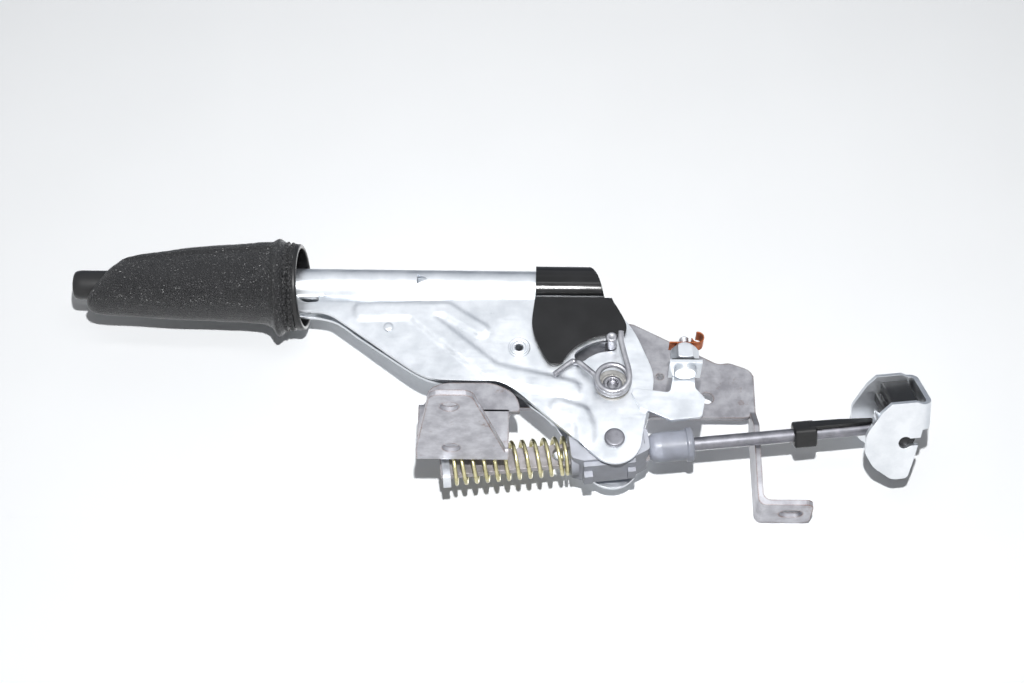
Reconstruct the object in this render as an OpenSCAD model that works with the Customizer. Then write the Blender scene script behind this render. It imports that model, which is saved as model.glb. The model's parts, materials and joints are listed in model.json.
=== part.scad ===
// Parking brake lever with ratchet, release button and self-adjusting cable pull.
// Drawn from the main pivot: X to the rear, Y to the far side, Z up.
// The finished model is moved so that the origin is the middle of the two front bolt holes.

/* [Base bracket] */
// Thickness of the bracket sheet
base_t = 3; // [2.5:0.1:3.5]
// Diameter of the two front bolt holes
pad_hole_d = 9.5; // [8:0.1:11]
// Distance between the two front bolt holes
pad_hole_pitch = 44; // [40:1:48]
// Width of the front pad along the lever
pad_w = 47; // [42:1:52]
// Length of the front pad across the lever
pad_l = 72; // [66:1:78]
// Distance from the front bolt holes back to the main pivot
pad_reach = 83; // [80:1:86]
// Drop from the main pivot to the front pad's underside
pad_drop = 44; // [42:0.5:46]
// Height of the web over the adjuster spring, below the main pivot
web_drop = 14; // [12:0.5:15]
// Drop from the main pivot to the rear foot's underside
foot_drop = 57; // [54:0.5:60]
// Distance from the main pivot back to the rear leg
leg_reach = 76; // [74:0.5:79]
// Length of the rear foot along the lever
foot_l = 29; // [27:1:33]
// Width of the rear foot across the lever
foot_w = 22; // [20:1:24]
// Length of the rear foot's slot
foot_slot_l = 12.7; // [11:0.1:14]
// Width of the rear foot's slot
foot_slot_w = 8.5; // [7:0.1:9.5]

/* [Lever] */
// Thickness of the lever sheet
lever_t = 2; // [1.6:0.1:2.2]
// Outer diameter of the lever tube
tube_d = 20; // [19:0.5:21]
// Height of the tube axis above the main pivot
tube_z = 67.5; // [66:0.5:70]
// Distance from the main pivot to the tube's front end
tube_reach = 243; // [236:1:248]
// Half width over the lever walls at the pivot
wall_half = 15; // [15:0.1:16]
// Half width over the lever walls at the grip
nose_half = 6.4; // [6:0.1:7]
// Height of the stiffening beads
bead_h = 0.9; // [0.5:0.1:1.2]
// Width of the stiffening beads
bead_w = 7.5; // [6:0.5:9]
// Full travel of the lever in degrees
lever_travel = 42; // [30:1:44]

/* [Pivots] */
// Diameter of the main pivot pin
pivot_d = 10; // [9:0.1:10.4]
// Wall of the pivot bushes
bush_wall = 1.4; // [1:0.1:1.5]
// Diameter of the clevis pin
clevis_d = 7; // [6:0.1:7.4]
// Drop from the main pivot to the clevis pin
clevis_drop = 31; // [30:0.5:33]
// Diameter of the pin and rivet heads
head_d = 10.6; // [10:0.1:11.5]
// Diameter of the stop stud
stud_d = 6; // [5:0.1:6.5]
// Distance from the main pivot to the stop stud
stud_r = 24; // [23.5:0.1:25]
// Running clearance of pins, radial
run_gap = 0.05; // [0.02:0.01:0.09]
// Clearance of seated and riveted pieces, radial
seat_gap = 0.02; // [0.01:0.01:0.04]
// Clearance between pieces that pass each other
pass_gap = 0.4; // [0.3:0.05:0.6]

/* [Ratchet] */
// Radius of the ratchet's tooth tips
tip_r = 44; // [43:0.1:44.2]
// Depth of the ratchet teeth
tooth_h = 1.8; // [1.4:0.1:2]
// Angle from tooth to tooth
tooth_step = 3.5; // [3:0.1:4.5]
// Thickness of the sector and the pawl
ratchet_t = 4; // [3:0.1:5]
// Diameter of the pawl pin
pawl_pin_d = 6; // [5:0.1:6.5]

/* [Grip] */
// Length of the leather grip
grip_l = 108; // [104:1:112]
// Thickness of the leather
leather_t = 1.6; // [1.2:0.1:2]
// Outer diameter of the open end ring
collar_d = 47.2; // [46:0.2:49]
// Length of the open end ring
collar_l = 11; // [9:0.5:13]
// Diameter of the release button
button_d = 16; // [14:0.5:17]
// Travel of the release button
button_travel = 6; // [5:0.5:7]
// Diameter of the release rod
release_d = 5; // [4:0.1:5.4]

/* [Adjuster] */
// Rise of the pull rod towards the rear, in degrees
rod_rise = 6.4; // [5:0.2:7]
// Outer diameter of the take-up spring
takeup_od = 21; // [20:0.2:21.4]
// Wire of the take-up spring
takeup_wire = 2; // [1.8:0.1:2.4]
// Number of coils of the take-up spring
takeup_turns = 10; // [9:1:11]
// Length of the take-up spring as fitted
takeup_l = 62; // [59:1:65]
// Width of the flat rack
rack_w = 12.6; // [12:0.1:13]
// Thickness of the flat rack
rack_t = 4; // [3:0.1:4.5]
// Travel of the rack through the housing
rack_travel = 28; // [20:1:29]
// Half width of the adjuster housing
housing_half = 11.6; // [11:0.1:12]

/* [Pull rod and equaliser] */
// Diameter of the pull rod
rod_d = 7; // [6:0.1:7.2]
// Distance from the clevis pin to the centre of the rod's rear end
rod_reach = 152; // [150:1:160]
// Diameter of the rod's front ball and rear barrel
ball_d = 11; // [10.2:0.1:11.4]
// Height of the equaliser's side plates
yoke_h = 45; // [40:1:48]
// Length of the equaliser along the rod
yoke_l = 35; // [33:1:38]
// Width over the equaliser's side plates
yoke_w = 33; // [31:1:36]
// Thickness of the equaliser sheet
yoke_t = 2.5; // [2:0.1:3]
// Roll of the equaliser about the rod as it lies, in degrees
yoke_roll = 57; // [50:1:60]

/* [Switch] */
// Across flats of the contact nut
nut_af = 13; // [12:0.5:13.5]
// Thickness of the contact leaf
leaf_t = 0.6; // [0.4:0.1:0.8]

/* [Hidden] */
$fn = 64;

zinc = "gainsboro";
steel = "slategray";
black = "dimgray";

// Bracket
wall_gap = 3.4;
wall_y = wall_half + wall_gap;
riser_gap = 1.5;
riser_y = takeup_od / 2 + riser_gap;
pad_front = pad_reach + 18;
pad_rear = pad_front - pad_w;
pad_mid_y = riser_y + 38;
leg_y = 8;
origin_at = [pad_reach, pad_mid_y, pad_drop];

// Lever walls
inner_half = wall_half - lever_t;
bend_x = -60;
front_x = -157;
wall_tilt = atan((wall_half - nose_half) / (bend_x - front_x));
tube_r = tube_d / 2;
tube_rear = 1;
// The walls end below the tube, and a sloping shoulder joins the two
crease_z = tube_z - 15.5;
crease_rise = 6.5;
shoulder_from = 25;
lobe_r = 14;
clevis_at = [0.5, -clevis_drop];
lever_outline = [
    [front_x, 50], [-148, 45], [-104, 9], [-94, 4], [-52, 2], [-24, -27],
    [-13, -clevis_drop - lobe_r], [14, -clevis_drop - lobe_r], [17, -17], [23, 5], [12, 34], [2, 47],
    [2, crease_z + 12], [front_x, crease_z + 12]];
lever_brow = [
    [bend_x - 8, crease_z - 3], [bend_x - 8, crease_z - 0.3], [front_x, crease_z + crease_rise],
    [front_x, crease_z - 3]];
bead_long = [[-137, 50], [-92, 41], [-66, 10], [-22, -2]];
bead_short = [[-92, 41], [-68, 32]];
lobe_panel = [[-33, -15.4], [-15, -15.4], [-10, -21], [-10, -36], [-13, -39], [-22.5, -27]];
slot_from = 91;
slot_half = stud_d / 2 + pass_gap;

// Pivots and ratchet
bush_r = pivot_d / 2 + run_gap + bush_wall;
bush_flange_r = 9;
bush_flange_t = 1.2;
hub_out = 24;
pawl_at = [-49, 22];
pawl_hub_r = 6;
head_t = 2;
rivet_at = [-119, 37];
rivet_r = 1.5;
rivet_head_r = 2.6;
tooth_first = 121;
tooth_count = 15;
sector_hub_r = 9;

// Return spring
return_wire = 2.6;
return_turns = 1.5;
return_mean_r = bush_r + return_wire / 2 + 0.4;
return_pitch = return_wire + 0.25;
return_y = -wall_half - bush_flange_t - return_wire / 2 - 0.3;

// Grip
collar_r = collar_d / 2;
collar_x = -178;
grip_rear = collar_x;
grip_front = grip_rear - grip_l;
button_out = button_travel + 1;
button_l = 24;
button_x = grip_front - button_out;
button_r = button_d / 2;
spring_seat_x = -tube_reach - 4;

// Adjuster, along the rod from the clevis pin
housing_from = -23;
housing_to = 18;
housing_up = 9;
housing_down = 9.5;
takeup_mean_r = (takeup_od - takeup_wire) / 2;
takeup_from = housing_from - takeup_l - 0.3;
head_l = 5;
head_r = 11;
rack_from = takeup_from - 0.3 - head_l;
socket_from = housing_to + 0.4;
socket_to = 42;
socket_r = 8;
ball_r = ball_d / 2;
ball_x = 31;
rod_r = rod_d / 2;
barrel_h = 10;
yoke_rear = rod_reach + 13;
clip_x = 101;

// Switch contact
arm_t = 2;
clip_t = 2;
contact_r = 4;
tip_stud_r = 2.5;
contact_at = [37.5, -wall_half - arm_t - contact_r - 2.6];
shelf_z = 5;
nut_h = 8;
nut_z = shelf_z + arm_t + clip_t;
leaf_z = nut_z + nut_h + 2;

function unit(v) = v / norm(v);
function polar(r, a) = r * [cos(a), sin(a)];

// Points of an outline with rounded corners
function rounded(p, r, n = 4) = [
    for (i = [0 : len(p) - 1])
        let (
            b = p[i],
            u = unit(p[(i + len(p) - 1) % len(p)] - b),
            v = unit(p[(i + 1) % len(p)] - b),
            half = acos(u * v) / 2,
            room = 0.48 * min(norm(p[(i + len(p) - 1) % len(p)] - b), norm(p[(i + 1) % len(p)] - b)),
            d = min(r / tan(half), room),
            rr = d * tan(half),
            c = b + unit(u + v) * rr / sin(half),
            s = b + u * d - c,
            e = b + v * d - c,
            a0 = atan2(s.y, s.x),
            da = (atan2(e.y, e.x) - a0 + 540) % 360 - 180
        )
        for (k = [0 : n]) c + polar(rr, a0 + da * k / n)];

// Flat outline in X and Z, standing from y0 to y0 + t
module upright(y0, t) {
    translate([0, y0 + t, 0]) rotate([90, 0, 0]) linear_extrude(t) children();
}

// Round bar along Y
module bar_y(r, y0, y1) {
    translate([0, y1, 0]) rotate([90, 0, 0]) cylinder(r = r, h = y1 - y0);
}

// Round bar along X
module bar_x(r, x0, x1) {
    translate([x0, 0, 0]) rotate([0, 90, 0]) cylinder(r = r, h = x1 - x0);
}

module at_xz(p) {
    translate([p.x, 0, p.y]) children();
}

// Straight strip with round ends
module strip(a, b, w) {
    d = b - a;
    translate(a) rotate(atan2(d.y, d.x)) translate([0, -w / 2]) square([norm(d), w]);
    translate(a) circle(d = w);
    translate(b) circle(d = w);
}

// Outline of a band with round ends along a path of points
function band(p, w, n = 8) =
    let (
        m = len(p),
        run = [for (i = [0 : m - 2]) unit(p[i + 1] - p[i])],
        side = [
            for (i = [0 : m - 1])
                let (
                    u = run[max(i - 1, 0)],
                    v = run[min(i, m - 2)],
                    out = unit([-u.y - v.y, u.x + v.x])
                )
                out * (w / 2) / (out * [-u.y, u.x])],
        a0 = atan2(run[0].y, run[0].x),
        a1 = atan2(run[m - 2].y, run[m - 2].x)
    )
    concat(
        [for (i = [0 : m - 1]) p[i] + side[i]],
        [for (k = [1 : n - 1]) p[m - 1] + polar(w / 2, a1 + 90 - 180 * k / n)],
        [for (i = [m - 1 : -1 : 0]) p[i] - side[i]],
        [for (k = [1 : n - 1]) p[0] + polar(w / 2, a0 - 90 - 180 * k / n)]);

// Round wire along a path; ref is a direction that the path never follows
module wire(path, r, ref, sides = 8) {
    n = len(path);
    along = [for (i = [0 : n - 1]) unit(path[min(i + 1, n - 1)] - path[max(i - 1, 0)])];
    points = [
        for (i = [0 : n - 1])
            let (n1 = unit(cross(along[i], ref)), n2 = cross(along[i], n1))
            for (j = [0 : sides - 1]) path[i] + r * (cos(360 * j / sides) * n1 + sin(360 * j / sides) * n2)];
    skin = [
        for (i = [0 : n - 2], j = [0 : sides - 1])
            let (a = i * sides + j, b = i * sides + (j + 1) % sides)
            each [[a, a + sides, b + sides], [a, b + sides, b]]];
    first = [for (j = [0 : sides - 1]) j];
    last = [for (j = [sides - 1 : -1 : 0]) (n - 1) * sides + j];
    polyhedron(points, concat(skin, [first, last]));
}

// Solid through sections across X, each [x, outline in Y and Z], all with the same number of points
module loft(sections) {
    m = len(sections[0][1]);
    n = len(sections);
    points = [for (s = sections) for (p = s[1]) [s[0], p.x, p.y]];
    skin = [
        for (i = [0 : n - 2], j = [0 : m - 1])
            let (a = i * m + j, b = i * m + (j + 1) % m)
            each [[a, a + m, b + m], [a, b + m, b]]];
    first = [for (j = [0 : m - 1]) j];
    last = [for (j = [m - 1 : -1 : 0]) (n - 1) * m + j];
    polyhedron(points, concat(skin, [first, last]));
}

// Places for pieces drawn from the clevis pin along the rod
module on_rod() {
    at_xz(clevis_at) rotate([0, -rod_rise, 0]) children();
}

module base_bracket() {
    bend_r = 4;
    web_far = wall_y + base_t;
    wall_outline = [
        [-pad_front, -web_drop + 6], [-pad_rear, -web_drop + 6], [-pad_rear, 4], [-24, 4], [-15, -12], [13, -12],
        [20, -1], [leg_reach + base_t, -1], [leg_reach + base_t, 28], [66, 33], [60, 32], [14, 57],
        [-6, 58], [-34, 44], [-pad_front, 6]];
    // The pad narrows towards its free end
    pad_outline = [
        [-pad_reach - 9.5, -riser_y - pad_l], [-pad_reach + 11, -riser_y - pad_l],
        [-pad_rear, -riser_y - base_t - 2], [-pad_rear, -riser_y - base_t - 1],
        [-pad_front, -riser_y - base_t - 1], [-pad_front, -riser_y - 14], [-pad_front + 5, -riser_y - 48]];
    // Pad, riser, web and wall are one strip, bent three times
    strip_section = [
        [-riser_y - base_t - 9, -pad_drop], [-riser_y, -pad_drop], [-riser_y, -web_drop], [web_far, -web_drop],
        [web_far, 0], [wall_y, 0], [wall_y, -web_drop + base_t], [-riser_y - base_t, -web_drop + base_t],
        [-riser_y - base_t, -pad_drop + base_t], [-riser_y - base_t - 9, -pad_drop + base_t]];
    leg_outline = [
        [leg_y, -foot_drop + 9], [leg_y + foot_w, -foot_drop + 9], [leg_y + foot_w, -12],
        [web_far, 26], [wall_y, 26], [wall_y, 2], [leg_y, -10]];
    foot_section = [
        [leg_reach, -foot_drop + 12], [leg_reach, -foot_drop], [leg_reach + 13, -foot_drop],
        [leg_reach + 13, -foot_drop + base_t], [leg_reach + base_t, -foot_drop + base_t],
        [leg_reach + base_t, -foot_drop + 12]];
    foot_mid = [leg_reach + 18, leg_y + foot_w / 2];
    color(steel) difference() {
        union() {
            upright(wall_y, base_t) polygon(rounded(wall_outline, 7));
            translate([-pad_front, 0, 0]) rotate([90, 0, 90]) linear_extrude(pad_w)
                polygon(rounded(strip_section, bend_r));
            translate([0, 0, -pad_drop]) linear_extrude(base_t) polygon(rounded(pad_outline, 6));
            translate([leg_reach, 0, 0]) rotate([90, 0, 90]) linear_extrude(base_t)
                polygon(rounded(leg_outline, 3));
            upright(leg_y, foot_w) polygon(rounded(foot_section, bend_r));
            translate([leg_reach + 8, leg_y, -foot_drop]) linear_extrude(base_t)
                polygon(rounded([[0, 0], [foot_l - 8, 0], [foot_l - 8, foot_w], [0, foot_w]], 4));
        }
        for (s = [-1, 1])
            translate([-pad_reach, -pad_mid_y + s * pad_hole_pitch / 2, -pad_drop - 1])
                cylinder(d = pad_hole_d, h = base_t + 2);
        translate([foot_mid.x, foot_mid.y, -foot_drop - 1]) linear_extrude(base_t + 2)
            strip([-(foot_slot_l - foot_slot_w) / 2, 0], [(foot_slot_l - foot_slot_w) / 2, 0], foot_slot_w);
        bar_y(pivot_d / 2 + seat_gap, wall_y - 1, web_far + 1);
        at_xz(polar(stud_r, slot_from)) bar_y(stud_d / 2 + seat_gap, wall_y - 1, web_far + 1);
        at_xz([53, 11]) bar_y(3.5, wall_y - 1, web_far + 1);
        at_xz([28, 24]) bar_y(2, wall_y - 1, web_far + 1);
    }
}

module ratchet_sector() {
    last = tooth_first + tooth_count * tooth_step;
    teeth = [
        for (i = [0 : tooth_count - 1])
            let (a = tooth_first + i * tooth_step)
            each [polar(tip_r - tooth_h, a), polar(tip_r, a + 0.3 * tooth_step), polar(tip_r, a + 0.45 * tooth_step)]];
    flank = [for (a = [tooth_first - 6 : -6 : 82]) polar(stud_r + 6 + (a - 82) * 0.2, a)];
    color("silver") difference() {
        upright(-ratchet_t / 2, ratchet_t) union() {
            polygon(concat(
                [polar(sector_hub_r - 1, 20), polar(stud_r + 4, 76)],
                [for (i = [len(flank) - 1 : -1 : 0]) flank[i]], teeth,
                [polar(tip_r - tooth_h, last), polar(tip_r - 9, last + 3), polar(sector_hub_r - 1, 220)]));
            circle(r = sector_hub_r);
        }
        bar_y(pivot_d / 2 + seat_gap, -ratchet_t, ratchet_t);
        at_xz(polar(stud_r, slot_from)) bar_y(stud_d / 2 + seat_gap, -ratchet_t, ratchet_t);
    }
}

module pivot_pin() {
    color("silver") difference() {
        union() {
            bar_y(pivot_d / 2, -hub_out, wall_y + base_t);
            bar_y(head_d / 2 + 2, wall_y + base_t, wall_y + base_t + head_t);
        }
        bar_y(pivot_d / 4, -hub_out - 1, -hub_out + 4);
    }
}

module stop_stud() {
    color("silver") at_xz(polar(stud_r, slot_from)) {
        bar_y(stud_d / 2, return_y - return_turns * return_pitch - return_wire, wall_y + base_t);
        bar_y(stud_d / 2 + 1.5, wall_y + base_t, wall_y + base_t + head_t);
    }
}

// Near wall of the lever: a flat sheet that bends in towards the grip; out is the outer face's step.
// The first child is the flat part's outline, the last one the bent part's, which laps past the bend
module near_sheet(out, t, lap = 0) {
    y0 = -wall_half - out;
    upright(y0, t) intersection() {
        children(0);
        translate([bend_x, -200]) square(400);
    }
    translate([bend_x, -wall_half, 0]) rotate([0, 0, -wall_tilt]) translate([-bend_x, wall_half, 0])
        upright(y0, t) intersection() {
            children($children - 1);
            translate([bend_x + lap - 400, -200]) square(400);
        }
}

module slot_shape() {
    difference() {
        intersection() {
            circle(r = stud_r + slot_half);
            polygon([[0, 0], polar(60, slot_from), polar(60, slot_from + lever_travel)]);
        }
        circle(r = stud_r - slot_half);
    }
    for (a = [slot_from, slot_from + lever_travel]) translate(polar(stud_r, a)) circle(r = slot_half);
}

// Stiffening beads: a long one from the grip to the pivot and a short branch
module beads(w) {
    polygon(band(bead_long, w));
    polygon(band(bead_short, w));
    polygon(rounded(lobe_panel, 3));
}

// Section of the sloping shoulder from inside the tube's wall into the top of the side wall
function shoulder(x, half, z) =
    let (a = 180 + shoulder_from, axis = [0, tube_z])
    [x, [
        [-half + 0.3, z - 0.6], [-half + lever_t - 0.3, z - 0.6],
        axis + polar(tube_r - lever_t + 0.3, a), axis + polar(tube_r - 0.3, a)]];

// Side view of a lever wall, cut off at its top edge
module wall_shape(top) {
    intersection() {
        polygon(rounded(lever_outline, 9));
        translate([-300, -100]) square([400, 100 + top]);
    }
}

// One pressed half of the lever, on the near side
module half_shell() {
    difference() {
        union() {
            near_sheet(0, lever_t) {
                wall_shape(crease_z);
                wall_shape(crease_z - 0.2);
            }
            near_sheet(0, lever_t) polygon(lever_brow);
            near_sheet(bead_h, bead_h + lever_t / 2, 0.4) {
                beads(bead_w);
                beads(bead_w - 0.4);
            }
            loft([
                shoulder(front_x + 1, nose_half + tan(wall_tilt), crease_z + crease_rise - 0.1),
                shoulder(bend_x + 3, wall_half, crease_z),
                shoulder(tube_rear + 0.6, wall_half, crease_z)]);
            difference() {
                translate([0, 0, tube_z]) bar_x(tube_r, -tube_reach, tube_rear);
                translate([0, 0, tube_z]) bar_x(tube_r - lever_t, -tube_reach - 1, tube_rear + 1);
                translate([-tube_reach - 1, 0, tube_z - tube_d]) cube([tube_reach + 4, tube_d, 2 * tube_d]);
                translate([-tube_reach - 1, -nose_half + lever_t + 0.4, tube_z - tube_d])
                    cube([tube_reach + 4, tube_d, tube_d]);
            }
        }
        upright(-wall_half - 4, 8) slot_shape();
        bar_y(bush_r + seat_gap, -wall_half - 4, 0);
        at_xz(clevis_at) bar_y(clevis_d / 2 + seat_gap, -wall_half - 4, 0);
        at_xz(pawl_at) bar_y(pawl_pin_d / 2 + seat_gap, -wall_half - 4, 0);
        at_xz(rivet_at) bar_y(rivet_r + seat_gap, -wall_half - 4, 0);
        // Lanced window in the tube
        upright(-tube_r - 1, 4.5)
            polygon([[-105.5, tube_z + 2.4], [-99, tube_z - 0.4], [-105.5, tube_z - 3.2]]);
    }
}

module lever_shell_near() {
    color(zinc) half_shell();
}

module lever_shell_far() {
    color(zinc) mirror([0, 1, 0]) half_shell();
}

// Flanged bushes; their inner ends hold the sector in the middle
module pivot_bushes() {
    color("tan") difference() {
        union() {
            bar_y(bush_r, -hub_out, -ratchet_t / 2 - pass_gap);
            bar_y(bush_flange_r, -wall_half - bush_flange_t, -wall_half);
            bar_y(bush_r, ratchet_t / 2 + pass_gap, wall_y - pass_gap);
            bar_y(bush_flange_r, wall_half, wall_half + bush_flange_t);
        }
        bar_y(pivot_d / 2 + run_gap, -hub_out - 1, wall_y + 1);
    }
}

// Pin through both lever walls with a head on each outer face
module headed_pin(r, rh, half, t) {
    bar_y(r, -half - t, half + t);
    bar_y(rh, -half - t, -half);
    bar_y(rh, half, half + t);
}

module shell_rivet() {
    half = wall_half - (bend_x - rivet_at.x - rivet_head_r) * tan(wall_tilt) + seat_gap;
    color("silver") at_xz(rivet_at) headed_pin(rivet_r, rivet_head_r, half, 0.9);
}

module pawl_pin() {
    color("silver") at_xz(pawl_at) difference() {
        headed_pin(pawl_pin_d / 2, head_d / 2, wall_half, 1.4);
        bar_y(pawl_pin_d / 4, -wall_half - 2, wall_half + 2);
    }
}

module clevis_pin() {
    color(steel) at_xz(clevis_at) headed_pin(clevis_d / 2, head_d / 2, wall_half, head_t);
}

// Plastic saddle over the rear end of the tube: it follows the shoulder down to a flap on each side
module pivot_cover() {
    skin = 2;
    from = -40;
    to = 0;
    over = 0.5;
    in_y = wall_half + bead_h + 0.1;
    brow = polar(tube_r, 180 + shoulder_from) + [0, tube_z];
    foot = [-wall_half, crease_z];
    out = unit([foot.y - brow.y, brow.x - foot.x]);
    flap = [
        [from - 1, crease_z + 2], [from - 2.5, 36], [-36, 15.5], [-33, 12], [-29, 13], [-8, 30], [5, 31],
        [6.5, 36], [to, 46], [to, crease_z + 2]];
    color(black) difference() {
        union() {
            difference() {
                translate([0, 0, tube_z]) bar_x(tube_r + skin + 0.1, from, to);
                translate([0, 0, tube_z]) bar_x(tube_r + 0.1, from - 1, to + 1);
                translate([from - 1, -tube_d, brow.y - 20.8]) cube([to + 2 - from, 2 * tube_d, 20]);
            }
            for (s = [0, 1]) mirror([0, s, 0]) {
                upright(-in_y - skin, skin) polygon(rounded(flap, 4));
                translate([from, 0, 0]) rotate([90, 0, 90]) linear_extrude(to - from) polygon([
                    brow + over * out, brow + (over + skin) * out,
                    foot + (over + skin) * out, [-in_y - 0.6, crease_z - 1], [-in_y, crease_z - 1],
                    foot + over * out]);
            }
        }
        // Rear end cut back towards the top
        upright(-tube_d, 2 * tube_d) polygon([
            [-14, tube_z + tube_d], [-14, tube_z + tube_r], [to - 0.5, crease_z + 1], [to + 20, crease_z + 1],
            [to + 20, tube_z + tube_d]]);
    }
}

// Torsion spring: one leg hooks the lever wall, the other bears on the stop stud
module return_spring() {
    rise = return_turns * return_pitch;
    y_in = -wall_half - return_wire / 2 - 0.3;
    coil = [for (a = [0 : 15 : 360 * return_turns])
        let (p = polar(return_mean_r, 180 + a)) [p.x, return_y - rise * a / (360 * return_turns), p.y]];
    hook = [[-30, y_in, 6], [-21, y_in, 13.5], [-18.5, y_in, 14], [-16.5, return_y + 0.4, 12]];
    lug_x = stud_d / 2 + return_wire / 2 + 0.3 + polar(stud_r, slot_from).x;
    tail = [[return_mean_r * 0.97, return_y - rise, 4], [lug_x + 0.3, return_y - rise, 20],
        [lug_x, return_y - rise, stud_r + 3]];
    color("gray") wire(concat(hook, coil, tail), return_wire / 2, [0, 1, 0]);
}

// Joggled arm on the lever's rear edge that carries the switch contact
module switch_arm() {
    blade = [
        [8, -2], [14, -14], [30, -21], [46, -19], [48, -8], [43, -2], [43, shelf_z + arm_t],
        [32, shelf_z + arm_t], [30, -5]];
    color(zinc) difference() {
        union() {
            upright(-wall_half - arm_t, arm_t) polygon(rounded(blade, 2.5));
            translate([contact_at.x - 8.5, contact_at.y - 7.5, shelf_z])
                cube([17, -wall_half - contact_at.y + 7.5, arm_t]);
        }
        bar_y(bush_flange_r + 1, -wall_half - 9, -wall_half + 1);
        translate([contact_at.x, contact_at.y, shelf_z - 1]) cylinder(r = contact_r + seat_gap, h = arm_t + 2);
    }
}

module switch_clip() {
    color(black) translate([contact_at.x, contact_at.y, shelf_z + arm_t]) difference() {
        translate([-7, -5, 0]) cube([14, 10, clip_t]);
        translate([0, 0, -1]) cylinder(r = contact_r + seat_gap, h = clip_t + 2);
    }
}

module switch_nut() {
    color(zinc) translate([contact_at.x, contact_at.y, nut_z]) difference() {
        cylinder(r = nut_af / sqrt(3), h = nut_h, $fn = 6);
        translate([0, 0, -1]) cylinder(r = contact_r + seat_gap, h = nut_h + 2);
    }
}

// Stud with its head under the arm and a shoulder over the nut
module switch_stud() {
    color(zinc) translate([contact_at.x, contact_at.y, 0]) {
        translate([0, 0, shelf_z - 2.5]) cylinder(r = contact_r + 2, h = 2.5);
        translate([0, 0, shelf_z - 1]) cylinder(r = contact_r, h = nut_z + nut_h - shelf_z + 1);
        translate([0, 0, nut_z + nut_h]) cylinder(r = contact_r + 1, h = leaf_z - nut_z - nut_h);
        translate([0, 0, leaf_z - 1]) cylinder(r = tip_stud_r, h = 6);
    }
}

// Copper leaf on the stud's shoulder with a rolled end
module contact_leaf() {
    curl_r = 3.4;
    color("chocolate") difference() {
        upright(contact_at.y - 4, 8) union() {
            translate([contact_at.x - 8, leaf_z]) square([15, leaf_t]);
            translate([contact_at.x + 6.9, leaf_z + curl_r]) difference() {
                circle(r = curl_r);
                circle(r = curl_r - leaf_t);
                rotate(100) square(curl_r + 1);
            }
        }
        translate([contact_at.x, contact_at.y, leaf_z - 2]) cylinder(r = tip_stud_r + seat_gap, h = 5);
    }
}

// Grip sections: distance from the front end, height above and below the tube axis, lean of the section
grip_sections = [
    [0, 11.5, 11, 0.3], [1.5, 14, 13, 0.34], [5, 16, 14.6, 0.36], [13, 17.2, 15.8, 0.34], [26, 18, 16.6, 0.28],
    [50, 20.4, 18, 0.15], [grip_l - 34, 22.8, 18.4, 0.06], [grip_l - 16, 24.6, 18.8, 0],
    [grip_l - 8, 24.8, 21.4, 0], [grip_l - 3, 24.2, 23.2, 0], [grip_l, collar_r, collar_r, 0]];

// Smooth body through the grip sections, drawn in by inset
module grip_body(inset) {
    sides = 28;
    n = len(grip_sections);
    points = [
        for (s = grip_sections)
            for (j = [0 : sides - 1])
                let (
                    a = 360 * j / sides,
                    h = sin(a) > 0 ? s[1] : s[2],
                    w = 0.47 * (s[1] + s[2])
                )
                [grip_front + s[0] + s[3] * h * sin(a), (w - inset) * cos(a), tube_z + (h - inset) * sin(a)]];
    skin = [
        for (i = [0 : n - 2], j = [0 : sides - 1])
            let (a = i * sides + j, b = i * sides + (j + 1) % sides)
            each [[a, a + sides, b + sides], [a, b + sides, b]]];
    first = [for (j = [0 : sides - 1]) j];
    last = [for (j = [sides - 1 : -1 : 0]) (n - 1) * sides + j];
    polyhedron(points, concat(skin, [first, last]));
}

module grip_core() {
    color(black) difference() {
        grip_body(leather_t + 0.05);
        translate([0, 0, tube_z]) {
            bar_x(tube_r + seat_gap, -tube_reach, grip_rear + 1);
            bar_x(button_r + pass_gap, grip_front - 8, spring_seat_x);
            bar_x(release_d / 2 + pass_gap, spring_seat_x - 1, -tube_reach + 1);
        }
    }
}

module grip_leather() {
    color("darkslategray") difference() {
        grip_body(0);
        grip_body(leather_t);
        translate([0, 0, tube_z]) {
            bar_x(button_r + 1.6, grip_front - 8, grip_front + 8);
            bar_x(collar_r - leather_t, grip_rear - 1, grip_rear + 1);
        }
    }
}

module grip_collar() {
    color(black) translate([0, 0, tube_z]) difference() {
        bar_x(collar_r, collar_x, collar_x + collar_l);
        bar_x(collar_r - 2.4, collar_x + 2, collar_x + collar_l + 1);
        bar_x(tube_r + seat_gap, collar_x - 1, collar_x + 3);
    }
}

module release_button() {
    edge = 2.5;
    color(black) translate([button_x, 0, tube_z]) rotate([0, 90, 0]) difference() {
        rotate_extrude() polygon(concat(
            [[0, 0]],
            [for (a = [0 : 15 : 90]) [button_r - edge + edge * sin(a), edge - edge * cos(a)]],
            [[button_r, button_l], [0, button_l]]));
        translate([0, 0, button_l - 8]) cylinder(r = release_d / 2 + seat_gap, h = 9);
    }
}

module release_rod() {
    color("silver") translate([0, 0, tube_z]) bar_x(release_d / 2, button_x + button_l - 8, pawl_face_x() - 0.7);
}

function pawl_face_x() = pawl_at.x - 1;

module button_spring() {
    mean_r = 5;
    from = button_x + button_l + 0.8;
    to = spring_seat_x - 0.8;
    coil = [for (a = [0 : 30 : 360 * 4])
        let (p = polar(mean_r, a)) [from + (to - from) * a / (360 * 4), p.x, tube_z + p.y]];
    color("silver") wire(coil, 0.6, [1, 0, 0], 6);
}

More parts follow.
